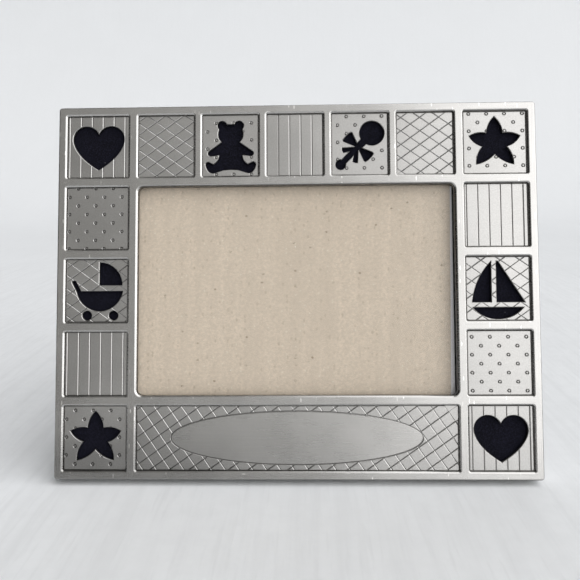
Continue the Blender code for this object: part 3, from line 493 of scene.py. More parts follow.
def satin_pewter(face):
    """Satin cast metal: grainy cell floors, a brushed oval, worn ribs and dark recesses, with painted shade
    on some walls and at the lower left, and a painted shadow line round the edge.
    """
    finish, place = new_finish("satin_pewter", face)
    plan = face_layout(face)
    panel = bottom_panel(face)
    half_width, half_height = face.width / 2, face.height / 2
    x, y, z = split(place)
    side = abs(x)
    rise = abs(y - plan.middle_y)

    # Floors, oval and tops, by their height in mm under the tops of the ribs
    half_oval = oval_half_axes(face, panel)
    sunk = spread_mm(z, -1.3, -1.38)
    oval = spread(abs(x / half_oval[0]) ** 2.0 + abs((y - panel.y) / half_oval[1]) ** 2.0, 1.0, 0.96) * sunk
    floor = sunk * (1.0 - oval)
    top = spread_mm(z, -0.2, -0.04)
    smooth = larger(top, oval)

    # Darkened feet of the walls, partly patina and partly painted shade, which starts higher up the walls on
    # the right; painted shade on the window's upper wall; and darkened grooves and openings
    inside = spread_inset(side, half_width, 1.6, 2.4) * spread_inset(rise, half_height, 1.6, 2.4)
    # Painted shade: on the right, the dark foot starts higher up each wall
    depth_with_right_shade = z - spread_mm(x, 52.0, 68.0, 0.0, 0.32 * MM)
    foot = spread_mm(depth_with_right_shade, -0.58, -0.68) * spread_mm(z, -1.34, -1.31)
    # Painted shade on the window's upper wall, which faces down
    painted_head_shade = spread_mm(abs(y - (plan.middle_y + plan.window_height / 2)), 1.4, 1.2)
    painted_head_shade = painted_head_shade * spread_inset(side, plan.inner_width / 2, 0.0, 0.6) * spread_mm(z, -0.16, -0.3)
    patina_and_painted_shade = larger(larger(foot, painted_head_shade), spread_mm(z, -1.5, -1.58)) * inside

    # A painted shadow line round the outer edge, stronger on the right, and painted shade that darkens the
    # lower left towards the bottom edge
    painted_rim_shadow = larger(spread_inset(side, half_width, 0.42, 0.3), spread_inset(rise, half_height, 0.42, 0.3))
    painted_rim_shadow = painted_rim_shadow * spread_mm(z, -1.0, -0.7) * spread_mm(x, -60.0, 30.0, 0.15, 0.8)
    # Painted shade: the metal darkens towards the bottom edge, most at the left
    lower = spread_mm(y, 2.0, 34.0, 1.0, 0.0) * spread_mm(x, -70.0, 50.0, 0.36, 0.0)

    # Grain, with brushed streaks along each rib, and nicks where the tops are worn
    broad = speckle(place, 38.0, 3.0)
    fine = speckle(place, 700.0, 3.0, 0.65)
    grain = speckle(place, 2100.0, 3.0, 0.7)
    brushed = speckle(stretched(place, 0.03, 0.0006, 0.03), 1.0, 3.0, 0.6)
    lengthwise = speckle(stretched(place, 0.0006, 0.03, 0.03), 1.0, 3.0, 0.6)
    upright = spread_mm(abs(side - (plan.inner_width + face.rib) / 2), 1.5, 1.2)
    upright = larger(upright, spread_inset(side, half_width, 3.1, 2.8))
    streaks = lengthwise * upright + brushed * (1.0 - upright)
    nicks = spots(stretched(place, 1.0, 3.5, 1.0), 420.0, 0.15, 0.7)
    marks = spots(stretched(place, 3.0, 1.0, 1.0), 260.0, 0.1, 0.9)
    nicks = larger(nicks, marks) * spread(speckle(place, 45.0, 2.0), 0.4, 0.58) * top

    tone = coats(
        shade(face.metal, 0.93),
        (spread(broad, 0.3, 0.7), shade(face.metal, 1.05)),
        (spread(fine, 0.35, 0.65) * 0.12, shade(face.metal, 1.16)),
        (smooth * spread(streaks, 0.35, 0.65, 0.0, 0.22), shade(face.metal, 0.84)),
        (floor * spread(grain, 0.35, 0.65, 0.0, 0.46), shade(face.metal, 0.62)),
        (nicks * 0.8, shade(face.metal, 1.9)),
        # Patina and painted shade in the recesses, and the painted shadow line round the outer edge
        (larger(patina_and_painted_shade * spread(fine, 0.3, 0.7, 0.8, 0.95), painted_rim_shadow), face.patina_and_shade),
        # painted shade at the lower left
        (lower, BLACK),
    )
    shine = spread(streaks, 0.3, 0.7, face.roughness - 0.015, face.roughness + 0.02)
    shine = shine + floor * 0.06 + spread(broad, 0.3, 0.7, -0.015, 0.015)
    height = grain * (floor * 0.6) + streaks * (smooth * 0.16) - nicks * 1.2
    return paint(
        finish,
        {"Base Color": tone, "Roughness": shine, "Metallic": 1.0, "Normal": relief(height, 0.012 * MM)},
    )


def pile(name, face, colour, sheen):
    """Short dark pile, as on velvet and flocked paper, with a little lint in it."""
    finish, place = new_finish(name, face)
    tufts = speckle(place, 2300.0, 3.0, 0.7)
    nap = speckle(place, 90.0, 3.0)
    lint = spots(place, 160.0, 0.05, 0.93)
    tone = coats(
        shade(colour, 0.5),
        (spread(tufts, 0.4, 0.7), shade(colour, 2.5)),
        (spread(nap, 0.35, 0.7, 0.0, 0.35), shade(colour, 1.8)),
        (lint * 0.5, LINT),
    )
    looks = {
        "Base Color": tone,
        "Roughness": spread(nap, 0.3, 0.7, 0.9, 1.0),
        "Specular IOR Level": 0.08,
        "Sheen Weight": sheen,
        "Sheen Roughness": 0.45,
        "Normal": relief(tufts, 0.09 * MM),
    }
    return paint(finish, looks)


def hardboard(face, colour):
    """Dark pressed fibre board, whose edges show their fibres."""
    finish, place = new_finish("dark_hardboard", face)
    layers = speckle(stretched(place, 0.002, 0.002, 0.0003), 1.0, 3.0, 0.6)
    fibres = speckle(place, 1300.0, 4.0, 0.7)
    rubbed = speckle(place, 60.0, 3.0)
    tone = coats(
        shade(colour, 0.7),
        (spread(fibres, 0.35, 0.7), shade(colour, 1.7)),
        (spread(layers, 0.5, 0.75, 0.0, 0.5), BROWN_FIBRE),
        (spread(rubbed, 0.5, 0.8, 0.0, 0.3), shade(colour, 2.4)),
    )
    looks = {
        "Base Color": tone,
        "Roughness": spread(fibres, 0.3, 0.7, 0.62, 0.82),
        "Normal": relief(fibres, 0.04 * MM),
    }
    return paint(finish, looks)


def kraft_card(face, backing):
    """Corrugated kraft card: bands and painted shade over its flutes, soft fibres and brown flecks, with a
    painted reflection strip and a painted shadow at its right edge.
    """
    finish, place = new_finish("kraft_card", face)
    x, y, _ = split(place)
    wobble = speckle(stretched(place, 0.03, 0.12, 0.03), 1.0, 2.0) * (1.6 * MM)
    flutes = spread(maths("SINE", (x + wobble) * (math.tau / backing.flute_pitch)), -1.0, 1.0)
    bands = speckle(stretched(place, 0.011, 0.09, 0.011), 1.0, 3.0, 0.6)
    clouds = speckle(place, 55.0, 4.0, 0.6)
    fibres = speckle(stretched(place, 0.0011, 0.0005, 0.001), 1.0, 4.0, 0.7)
    mottle = speckle(place, 760.0, 3.0, 0.75)
    ragged = spread(speckle(place, 1700.0, 2.0), 0.36, 0.52)
    flecks = spots(stretched(place, 1.0, 1.6, 1.0), 520.0, 0.34, 0.84) * ragged
    bits = spots(stretched(place, 1.4, 1.0, 1.0), 190.0, 0.11, 0.87) * ragged
    pale = spots(place, 480.0, 0.2, 0.9)
    # Painted reflection: a pale strip along the card's right edge, narrowing as it rises
    margin = spread_mm(x - y * 0.011, 68.9, 69.1)
    tone = coats(
        shade(backing.card, 0.93),
        (spread(bands, 0.3, 0.7), shade(backing.card, 1.06)),
        # painted shade along the flutes, over their washboard relief
        (flutes * 0.22, shade(backing.card, 0.86)),
        (spread(clouds, 0.35, 0.7, 0.0, 0.4), shade(backing.card, 1.1)),
        (spread(fibres, 0.35, 0.7, 0.0, 0.5), shade(backing.card, 0.78)),
        (spread(mottle, 0.4, 0.6, 0.0, 0.75), shade(backing.card, 0.85)),
        (flecks * 0.25, backing.fleck),
        (bits * 0.6, shade(backing.fleck, 0.8)),
        (pale * 0.45, PALE_FIBRE),
        # painted reflection strip
        (margin * 0.9, PAINTED_REFLECTION),
        # painted shadow beside the window's right wall
        (spread_mm(x, 71.1, 71.3), PAINTED_EDGE_SHADOW),
    )
    looks = {
        "Base Color": tone,
        "Roughness": spread(fibres, 0.3, 0.7, 0.78, 0.95),
        "Specular IOR Level": 0.25,
        "Normal": relief(fibres, 0.08 * MM, relief(flutes, 0.05 * MM)),
    }
    return paint(finish, looks)


def clear_glass(face, colour):
    """Clear float glass with faint smears. Lamps shine through it."""
    finish, place = new_finish("clear_glass", face)
    tree = finish.node_tree
    smears = speckle(stretched(place, 0.02, 0.06, 0.02), 1.0, 4.0, 0.6)
    haze = spread(smears, 0.45, 0.75, 0.012, 0.05) + spots(place, 170.0, 0.05, 0.9) * 0.25
    paint(finish, {"Base Color": colour, "Roughness": haze, "Transmission Weight": 1.0, "IOR": GLASS_INDEX})
    path = tree.nodes.new("ShaderNodeLightPath")
    open_pane = tree.nodes.new("ShaderNodeBsdfTransparent")
    feed(open_pane.inputs["Color"], OPEN_PANE)
    mixer = tree.nodes.new("ShaderNodeMixShader")
    feed(mixer.inputs[0], larger(Value(path.outputs["Is Shadow Ray"]), Value(path.outputs["Is Diffuse Ray"])))
    feed(mixer.inputs[1], Value(tree.nodes["Principled BSDF"].outputs["BSDF"]))
    feed(mixer.inputs[2], Value(open_pane.outputs["BSDF"]))
    feed(tree.nodes["Material Output"].inputs["Surface"], Value(mixer.outputs["Shader"]))
    return finish


def nickel_steel(face, hardware):
    """Nickel-plated pressed steel with a fine brushed grain and dull handling marks."""
    finish, place = new_finish("nickel_plated_steel", face)
    brushed = speckle(stretched(place, 0.004, 0.0004, 0.004), 1.0, 3.0, 0.6)
    marks = speckle(place, 240.0, 3.0, 0.6)
    pits = spots(place, 700.0, 0.12, 0.85)
    tone = coats(
        shade(hardware.steel, 0.86),
        (spread(marks, 0.35, 0.7), shade(hardware.steel, 1.08)),
        (pits * 0.5, shade(hardware.steel, 0.4)),
    )
    looks = {
        "Base Color": tone,
        "Roughness": spread(marks, 0.3, 0.7, hardware.roughness - 0.06, hardware.roughness + 0.1),
        "Metallic": 1.0,
        "Normal": relief(brushed * 0.6 - pits, 0.012 * MM),
    }
    return paint(finish, looks)


def studio_paint(colour):
    """Matt pale paint of the floor and backdrop, faintly uneven, with painted light that makes the floor a
    little paler than the backdrop.
    """
    finish, place = new_finish("studio_paint")
    clouds = speckle(place, 9.0, 5.0, 0.6)
    trowel = speckle(place, 120.0, 4.0, 0.6)
    broad_strokes = speckle(stretched(place, 0.006, 0.14, 0.14), 1.0, 3.0, 0.55)
    fine_strokes = speckle(stretched(place, 0.0025, 0.03, 0.03), 1.0, 3.0, 0.55)
    tone = coats(
        # Painted light: paler on the floor in front of and under the frame, a little darker from there back
        # to the backdrop
        shade(colour, 1.1),
        (spread(split(place)[1], 0.1, 1.0), shade(colour, 0.98)),
        (spread(clouds, 0.3, 0.7, 0.0, 0.3), shade(colour, 0.94)),
        (spread(broad_strokes, 0.4, 0.75, 0.0, 0.5), shade(colour, 0.955)),
        (spread(fine_strokes, 0.5, 0.75, 0.0, 0.5), shade(colour, 0.95)),
        (spread(trowel, 0.35, 0.7, 0.0, 0.25), shade(colour, 0.96)),
    )
    return paint(finish, {"Base Color": tone, "Roughness": 0.75, "Normal": relief(trowel, 0.15 * MM)})


def soft_room(stage):
    """Soft light from all round: dim on the left, with a pale screen, a window and a post on the right, and
    pale above and behind. Its bands stand upright to the leaning face, and so cross it evenly."""
    world = bpy.data.worlds.new("soft_room")
    world.use_nodes = True
    tree = world.node_tree
    x, y, z = split(Value(tree.nodes.new("ShaderNodeTexCoord").outputs["Generated"]))
    out = y * -math.cos(LEAN) + z * math.sin(LEAN)
    up = y * math.sin(LEAN) + z * math.cos(LEAN)
    turn = maths("ARCTAN2", x, out)
    seen = Value(tree.nodes.new("ShaderNodeLightPath").outputs["Is Camera Ray"])
    air = coats(
        shade(stage.dim_air, 0.1),
        (spread_turn(turn, -60.0, -24.0), stage.dim_air),
        (spread_turn(turn, -22.0, -2.0), stage.near_air),
        (spread(z, 0.16, 0.02, 0.0, 0.3), BLACK),
        (spread_turn(turn, 4.5, 15.0), [stage.screen] * 3),
        (spread_turn(turn, 32.0, 55.0) * spread(abs(up - 0.1), 0.55, 0.3), [stage.window] * 3),
        (spread(out, -0.25, -0.6), stage.far_air),
        (spread_turn(turn, 88.0, 93.0) * spread_turn(turn, 160.0, 145.0), shade(stage.dim_air, 0.4)),
        (seen, shade(stage.far_air, 0.92)),
    )
    feed(tree.nodes["Background"].inputs["Color"], air)
    return world


# Shapes


def new_item(name, bm):
    """An object of a bmesh, in the scene."""
    mesh = bpy.data.meshes.new(name)
    bm.normal_update()
    bm.to_mesh(mesh)
    bm.free()
    item = bpy.data.objects.new(name, mesh)
    bpy.context.scene.collection.objects.link(item)
    return item


def evaluated_mesh(item):
    """A new mesh of an object, with its modifiers or its curve worked out."""
    bpy.context.view_layer.update()
    evaluated = item.evaluated_get(bpy.context.evaluated_depsgraph_get())
    return bpy.data.meshes.new_from_object(evaluated)


def of_kind(geom, kind):
    """The vertices, edges or faces among the results of an operator."""
    return [part for part in geom if isinstance(part, kind)]


def combine(item, bm, operation="DIFFERENCE"):
    """Cut a solid with a shape, or join them, at once."""
    other = new_item("cutter", bm)
    change = item.modifiers.new("cut", "BOOLEAN")
    change.operation = operation
    change.solver = "MANIFOLD"
    change.object = other
    mesh = evaluated_mesh(item)
    item.modifiers.clear()
    item.data = mesh
    bpy.data.objects.remove(other, do_unlink=True)
    if not mesh.polygons:
        raise RuntimeError(f"Nothing is left of {item.name} after a cut")


def finish_piece(item, matrix, finish, body, nodes, angle=32.0):
    """Put a shape in its place, smooth it, and let it stand for CAD nodes on a body."""
    item.data.transform(matrix)
    item.data.materials.clear()
    item.data.materials.append(finish)
    item.data.shade_smooth()
    item.data.set_sharp_from_angle(angle=math.radians(angle))
    even = item.modifiers.new("even_normals", "WEIGHTED_NORMAL")
    even.weight = 90
    even.keep_sharp = True
    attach(item, body)
    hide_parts(*nodes)
    return item


def dress(node, finish):
    """Give a CAD node its finish."""
    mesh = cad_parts[node].data
    mesh.materials.clear()
    mesh.materials.append(finish)


def add_box(bm, low, high):
    """A box between two corners."""
    size = [b - a for a, b in zip(low, high)]
    middle = [(a + b) / 2 for a, b in zip(low, high)]
    matrix = Matrix.Translation(middle) @ Matrix.Diagonal((*size, 1.0))
    return bmesh.ops.create_cube(bm, size=1.0, matrix=matrix)["verts"]


def edges_along(verts, axis):
    """The edges among some vertices that run along an axis."""
    found = {edge for vert in verts for edge in vert.link_edges}
    return [e for e in found if abs((e.verts[0].co - e.verts[1].co).normalized()[axis]) > 0.99]


def round_edges(bm, edges, radius, segments):
    """Round some edges."""
    return bmesh.ops.bevel(
        bm, geom=edges, offset=radius, segments=segments, profile=0.5, affect="EDGES", material=-1
    )


def add_rounded_block(bm, x, y, width, height, low, high, corner, segments=8):
    """A block with rounded upright edges, and its lower face."""
    half = Vector((width / 2, height / 2))
    verts = add_box(bm, (x - half.x, y - half.y, low), (x + half.x, y + half.y, high))
    before = set(bm.faces)
    own = {face for vert in verts for face in vert.link_faces}
    round_edges(bm, edges_along(verts, 2), corner, segments)
    faces = [f for f in bm.faces if f not in before or f in own]
    return min(faces, key=lambda f: (round(f.calc_center_median().z, 7), f.normal.z))


def add_cylinder(bm, radius, low, high, segments=32, axis="Z", at=(0, 0)):
    """A cylinder along Z at a place in the plane, or along X at a place across it."""
    middle = (low + high) / 2
    if axis == "X":
        matrix = Matrix.Translation((middle, *at)) @ Matrix.Rotation(math.pi / 2, 4, "Y")
    else:
        matrix = Matrix.Translation((*at, middle))
    bmesh.ops.create_cone(
        bm, cap_ends=True, segments=segments, radius1=radius, radius2=radius, depth=high - low, matrix=matrix
    )


def arc(x, y, radius, start, end, step=ARC_STEP):
    """Points along an arc, in degrees, both ends included."""
    turn = math.radians(end - start)
    count = max(3, round(abs(turn) * radius / step))
    angles = [math.radians(start) + turn * i / count for i in range(count + 1)]
    return [(x + radius * math.cos(a), y + radius * math.sin(a)) for a in angles]


def bend(start, control, end, count=9):
    """Points along a curve that leaves start and reaches end by way of a control point."""
    points = []
    for i in range(count + 1):
        t = i / count
        weights = ((1 - t) ** 2, 2 * t * (1 - t), t**2)
        points.append(tuple(sum(w * p[k] for w, p in zip(weights, (start, control, end))) for k in (0, 1)))
    return points


def bulged(start, end, bulge, count=8):
    """A side from start to end that bulges to its left."""
    run = (end[0] - start[0], end[1] - start[1])
    distance = math.hypot(*run)
    middle = ((start[0] + end[0]) / 2, (start[1] + end[1]) / 2)
    control = (middle[0] - bulge * run[1] / distance, middle[1] + bulge * run[0] / distance)
    return bend(start, control, end, count)


def joined(*runs, least=0.05):
    """One outline out of several runs, without repeated points."""
    points = []
    for point in [p for run in runs for p in run]:
        if not points or math.dist(points[-1], point) > least:
            points.append(point)
    if math.dist(points[0], points[-1]) <= least:
        points.pop()
    return points


def mirrored(right_half):
    """A whole outline from its right half, which starts and ends on the middle line."""
    left = [(-x, y) for x, y in reversed(right_half) if abs(x) > 0.01]
    return joined(right_half, left)


def heart_outline():
    """A heart: two round lobes and two sides that draw in to a point."""
    lobe = arc(5.55, 3.6, 6.0, 157.5, -15.0)
    lower = bend(lobe[-1], (9.7, -4.4), (0.0, -10.3), 14)
    return [mirrored(joined([(0.0, 5.9)], lobe, lower))]


def star_outline():
    """A star of five leaf-shaped arms."""
    tips = [(0.0, 11.6), (11.05, 2.95), (8.1, -9.6), (-8.1, -9.6), (-11.05, 2.95)]
    notches = [(3.45, 4.2), (5.25, -1.7), (0.0, -4.9), (-5.25, -1.7), (-3.45, 4.2)]
    runs = []
    for i, tip in enumerate(tips):
        runs.append(bulged(notches[i - 1], tip, 1.6))
        runs.append(bulged(tip, notches[i], 1.6))
    return [joined(*runs)]


def teddy_outline():
    """A sitting teddy bear, seen from the front."""
    ear = arc(3.8, 9.3, 2.1, 165.0, -45.0)
    cheek = bend((5.35, 7.0), (6.3, 3.9), (4.0, 1.7))
    hand = arc(9.1, -3.4, 1.2, 60.0, -97.0)
    leg_top = bend((5.2, -4.1), (5.1, -6.6), (7.7, -8.4), 5)
    foot = arc(10.15, -8.5, 1.2, 105.0, -10.0)
    sole = bend(foot[-1], (10.3, -13.2), (7.0, -12.2)) + [(3.2, -11.0), (0.0, -10.8)]
    return [mirrored(joined([(0.0, 9.8)], ear, cheek, hand, leg_top, foot, sole))]


def rattle_outline():
    """A rattle tied with a bow: its handle lies along a slanting line."""
    grip = arc(0.0, 0.0, 2.3, 180.0, 32.0)
    tail = [(7.4, 1.25), (4.8, 2.9), (5.2, 4.1), (5.9, 4.8), (10.0, 1.15)]
    loop = [(10.6, 1.1), (8.5, 6.4), (8.7, 7.0), (9.8, 7.25), (11.25, 7.3)]
    loop += [(12.7, 7.25), (13.8, 7.0), (14.0, 6.4), (11.9, 1.1)]
    neck = [(12.5, 1.5), (14.4, 1.55)]
    ball = arc(19.95, 0.0, 5.5, 163.0, 0.0)
    upper = joined(grip, tail, loop, neck, ball)
    lower = [(u, -v) for u, v in reversed(upper) if abs(v) > 0.01]
    whole = joined(upper, lower)
    matrix = Matrix.Translation((-8.6, -9.2, 0.0)) @ Matrix.Rotation(math.radians(45.3), 4, "Z")
    return [[tuple((matrix @ Vector((u, v, 0.0)))[:2]) for u, v in whole]]


def pram_outline():
    """A pram: a folding hood, a bowl with its handle, and two wheels."""
    hood = joined([(1.05, 2.5)], arc(1.05, 2.5, 10.05, 0.0, 90.0))
    rim_y = -0.2
    centre, radius = (1.1, 1.4), 10.4
    rim_end = math.degrees(math.asin((rim_y - centre[1]) / radius))
    bowl = arc(*centre, radius, rim_end, -169.0)
    handle = [(-11.3, 3.7), (-11.25, 4.05), (-10.9, 4.4), (-10.2, 4.5), (-9.6, 4.2), (-7.3, rim_y)]
    wheels = [arc(x, -11.0, 2.05, 0.0, 360.0)[:-1] for x in (-4.4, 7.4)]
    return [hood, joined(bowl, handle), *wheels]


def sailboat_outline():
    """A sailing boat: two sails and a hull."""
    foot_y = -6.0
    back_sail = joined([(-2.9, foot_y)], bend((-2.9, 11.6), (-9.8, 4.4), (-11.1, foot_y), 14))
    front_sail = [(-0.5, foot_y), (11.6, foot_y), (0.2, 11.9), (-0.5, 11.9)]
    deck_y, half_length, hull_depth = -8.3, 10.85, 5.1
    radius = (half_length**2 + hull_depth**2) / (2 * hull_depth)
    reach = math.degrees(math.asin(half_length / radius))
    hull = arc(0.0, deck_y + radius - hull_depth, radius, 270.0 - reach, 270.0 + reach, 0.9)
    return [back_sail, front_sail, hull]


ICONS = {
    "heart": (heart_outline, WIDE_TILE),
    "star": (star_outline, WIDE_TILE),
    "pram": (pram_outline, WIDE_TILE),
    "sailboat": (sailboat_outline, WIDE_TILE),
    "teddy": (teddy_outline, NARROW_TILE),
    "rattle": (rattle_outline, NARROW_TILE),
}


def face_cells(face):
    """Every cell round the window, with its pattern, the pattern's phase in mm and its icon."""
    top = [
        ("diamonds", (-0.3, 2.1), None),
        ("dots", (-6.5, 2.6), "teddy"),
        ("stripes", (0.1, 0.0), None),
        ("dots", (2.0, 4.9), "rattle"),
        ("diamonds", (2.1, 2.7), None),
    ]
    left = [
        ("stripes", (-0.4, 0.0), "heart"),
        ("dots", (-5.05, 2.0), None),
        ("diamonds", (1.3, 2.6), "pram"),
        ("stripes", (-0.4, 0.0), None),
        ("dots", (-1.1, 4.25), "star"),
    ]
    right = [
        ("dots", (0.5, 1.3), "star"),
        ("stripes", (-0.5, 0.0), None),
        ("diamonds", (-3.0, 3.3), "sailboat"),
        ("dots", (-0.05, -0.45), None),
        ("stripes", (0.0, 0.0), "heart"),
    ]
    plan = face_layout(face)
    top_y = plan.bottom_y + (ROWS - 1) * plan.row_pitch
    cells = []
    for i, kind in enumerate(top):
        x = (i - (TOP_CELLS - 1) / 2) * plan.top_pitch
        cells.append(Cell(x, top_y, plan.top_cell, plan.cell_height, *kind))
    for x, column in ((-plan.side_x, left), (plan.side_x, right)):
        for i, kind in enumerate(column):
            cells.append(Cell(x, top_y - i * plan.row_pitch, face.side_cell, plan.cell_height, *kind))
    return cells


def bottom_panel(face):
    """The long panel under the window."""
    plan = face_layout(face)
    return Cell(0.0, plan.bottom_y, plan.inner_width, plan.cell_height, "lattice", (0.6, 1.5), None)


def pattern_lines(face, cell):
    """The grooves of a cell's pattern: (angle, pitch, offset) of each family of parallel lines."""
    slope = math.atan2(face.diamond_height, face.diamond_width)
    diamond_pitch = face.diamond_width * math.sin(slope)
    families = {
        "stripes": [(math.pi / 2, face.stripe_pitch, face.stripe_pitch / 2)],
        "diamonds": [(slope, diamond_pitch, 0.0), (-slope, diamond_pitch, 0.0)],
        "lattice": [(LATTICE_ANGLE + turn, face.lattice_pitch, 0.0) for turn in (0.0, math.pi / 2)],
        "dots": [],
    }
    phase = Vector(cell.phase) * MM
    lines = []
    for angle, pitch, start in families[cell.pattern]:
        lines.append((angle, pitch, start + phase.dot(Vector((-math.sin(angle), math.cos(angle))))))
    return lines


def widest_slope(face, tile):
    """How far a tile's edges can draw in, up to half a groove, with some of each edge left."""
    limit = face.groove_width / 2
    for loop in tile.loops:
        reach = sum(1 / math.tan(corner.calc_angle() / 2) for corner in (loop, loop.link_loop_next))
        limit = min(limit, SLOPED_EDGE * loop.edge.calc_length() / max(reach, 0.001))
    return limit


def engrave(bm, floor, face, cell):
    """Divide a cutter's floor into tiles along the pattern's lines and lift each tile, which leaves
    the grooves between them, and one round the foot of the wall, standing out of the cutter."""
    tiles = [floor]
    reach = math.hypot(cell.width, cell.height) / 2
    for angle, pitch, offset in pattern_lines(face, cell):
        across = Vector((-math.sin(angle), math.cos(angle), 0.0))
        first = math.ceil((-reach - offset) / pitch)
        for i in range(first, math.floor((reach - offset) / pitch) + 1):
            point = Vector((cell.x, cell.y, 0.0)) + across * (offset + i * pitch)
            parts = {e for tile in tiles for e in (*tile.edges, *tile.verts)}
            geom = [*tiles, *parts]
            cut = bmesh.ops.bisect_plane(bm, geom=geom, dist=SNAP, plane_co=point, plane_no=across)["geom"]
            tiles = of_kind(cut, bmesh.types.BMFace)
    for tile in tiles:
        if tile.calc_area() > LEAST_TILE:
            bmesh.ops.inset_individual(
                bm,
                faces=[tile],
                thickness=widest_slope(face, tile),
                depth=-face.groove_depth,
                use_even_offset=True,
            )


def sink(bm, floor, lip, run, depth, steps=5):
    """Sink a face round a lip, down a slope and down a steep foot."""
    turns = [WALL_SLOPE * i / steps for i in range(steps + 1)]
    points = [(lip * math.sin(turn), lip * (1 - math.cos(turn))) for turn in turns]
    foot = WALL_FOOT * run
    points.append((foot, points[-1][1] + (foot - points[-1][0]) * math.tan(WALL_SLOPE)))
    points.append((run, depth))
    for (u, d), (next_u, next_d) in zip(points, points[1:]):
        bmesh.ops.inset_region(
            bm, faces=[floor], thickness=next_u - u, depth=next_d - d, use_even_offset=True
        )


def add_pocket(bm, face, cell):
    """The shape that sinks one cell into the face: rounded lip, sloping wall and engraved floor."""
    floor = add_rounded_block(bm, cell.x, cell.y, cell.width, cell.height, 0.0, OVERCUT, face.cell_corner)
    sink(bm, floor, face.lip_round, face.wall_run, CELL_DEPTH + face.groove_depth)
    engrave(bm, floor, face, cell)


def oval_half_axes(face, panel):
    """Half the length and height of the oval in the bottom panel."""
    half_length = panel.width / 2 - face.wall_run - OVAL_END_SPACE
    half_height = panel.height / 2 - face.wall_run - OVAL_SIDE_SPACE
    return half_length, half_height


def oval_points(face, panel, grow=0.0, shift=0.0):
    """The oval in the bottom panel, as points on an ellipse."""
    half_x, half_y = [axis + grow for axis in oval_half_axes(face, panel)]
    return ellipse(panel.x, panel.y, half_x, half_y, OVAL_SIDES, shift)


def outline_curve(outlines):
    """A flat curve object with one closed spline for each outline."""
    curve = bpy.data.curves.new("outline", "CURVE")
    curve.dimensions = "2D"
    for points in outlines:
        spline = curve.splines.new("POLY")
        spline.points.add(len(points) - 1)
        for place, (x, y) in zip(spline.points, points):
            place.co = (x, y, 0.0, 1.0)
        spline.use_cyclic_u = True
    item = bpy.data.objects.new("outline", curve)
    bpy.context.scene.collection.objects.link(item)
    return item


def curve_to_bmesh(item):
    """The welded mesh of a curve object, which is then removed."""
    mesh = evaluated_mesh(item)
    mesh.transform(item.matrix_world)
    bm = bmesh.new()
    bm.from_mesh(mesh)
    bmesh.ops.remove_doubles(bm, verts=bm.verts, dist=0.001 * MM)
    bmesh.ops.recalc_face_normals(bm, faces=bm.faces)
    bpy.data.objects.remove(item, do_unlink=True)
    return bm


def plate(outlines, low, high, edge=0.0, grow=0.0, steps=2):
    """A flat plate of the given outlines, where an outline inside another is a hole. Its rims are
    rounded by edge, inside the outline or, with grow, outside it."""
    item = outline_curve(outlines)
    item.data.fill_mode = "BOTH"
    item.data.bevel_depth = edge
    item.data.bevel_resolution = steps
    item.data.offset = grow - edge
    item.data.extrude = (high - low) / 2 - edge
    item.location.z = (high + low) / 2
    return curve_to_bmesh(item)


def tube_along(points, z, radius):
    """A closed tube along an outline."""
    item = outline_curve([points])
    item.data.dimensions = "3D"
    item.data.bevel_depth = radius
    item.data.bevel_resolution = 4
    item.location.z = z
    return curve_to_bmesh(item)


def turned(profile, steps=40, ring=False):
    """A solid turned round the Z axis from a profile of (radius, height), which starts and ends on the axis,
    or a ring from a closed profile beside it."""
    bm = bmesh.new()
    verts = [bm.verts.new((radius, 0.0, z)) for radius, z in profile]
    ends = [*verts[1:], verts[0]] if ring else verts[1:]
    edges = [bm.edges.new(pair) for pair in zip(verts, ends)]
    bmesh.ops.spin(
        bm, geom=[*verts, *edges], cent=(0, 0, 0), axis=(0, 0, 1), angle=math.tau, steps=steps, use_merge=True
    )
    if not ring:
        bmesh.ops.remove_doubles(bm, verts=bm.verts, dist=0.002 * MM)
    bmesh.ops.recalc_face_normals(bm, faces=bm.faces)
    return bm


def ellipse(x, y, half_x, half_y, count, shift=0.0):
    """Points round an ellipse. They start at its right end, or a share of a step past it."""
    angles = [math.tau * (i + shift) / count for i in range(count)]
    return [(x + half_x * math.cos(a), y + half_y * math.sin(a)) for a in angles]


def circle(x, y, radius, count=32):
    """Points round a circle."""
    return ellipse(x, y, radius, radius, count)


def icon_outlines(face, cell):
    """The outlines of a cell's icon, at its place on the face."""
    draw, tile = ICONS[cell.icon]
    scale = (min(cell.width, cell.height) - 2 * face.wall_run) / tile
    return [[(cell.x + scale * x, cell.y + scale * y) for x, y in points] for points in draw()]


def dot_centres(face, cell):
    """Where a dotted cell has its punched dots: rows that are offset by half a pitch in turn."""
    margin = face.wall_run + DOT_SPACE
    start = Vector(cell.phase) * MM
    centres = []
    for row in DOT_STEPS:
        y = start.y + row * face.dot_row_pitch
        for column in DOT_STEPS:
            x = start.x + (column + (row % 2) / 2) * face.dot_pitch
            if abs(x) <= cell.width / 2 - margin and abs(y) <= cell.height / 2 - margin:
                centres.append((cell.x + x, cell.y + y))
    return centres


def dot_ring(face):
    """One punched dot: a ring round a small raised centre."""
    radius, centre = face.dot_radius, face.dot_radius * DOT_CENTRE
    above = 0.1 * MM
    section = [
        (radius + 0.12 * MM, above),
        (radius * DOT_FLOOR, -DOT_DEPTH),
        (centre + 0.06 * MM, -DOT_DEPTH * 0.8),
        (centre - 0.08 * MM, above),
    ]
    bm = turned(section, 18, ring=True)
    ring = bpy.data.meshes.new("dot_ring")
    bm.to_mesh(ring)
    bm.free()
    return ring


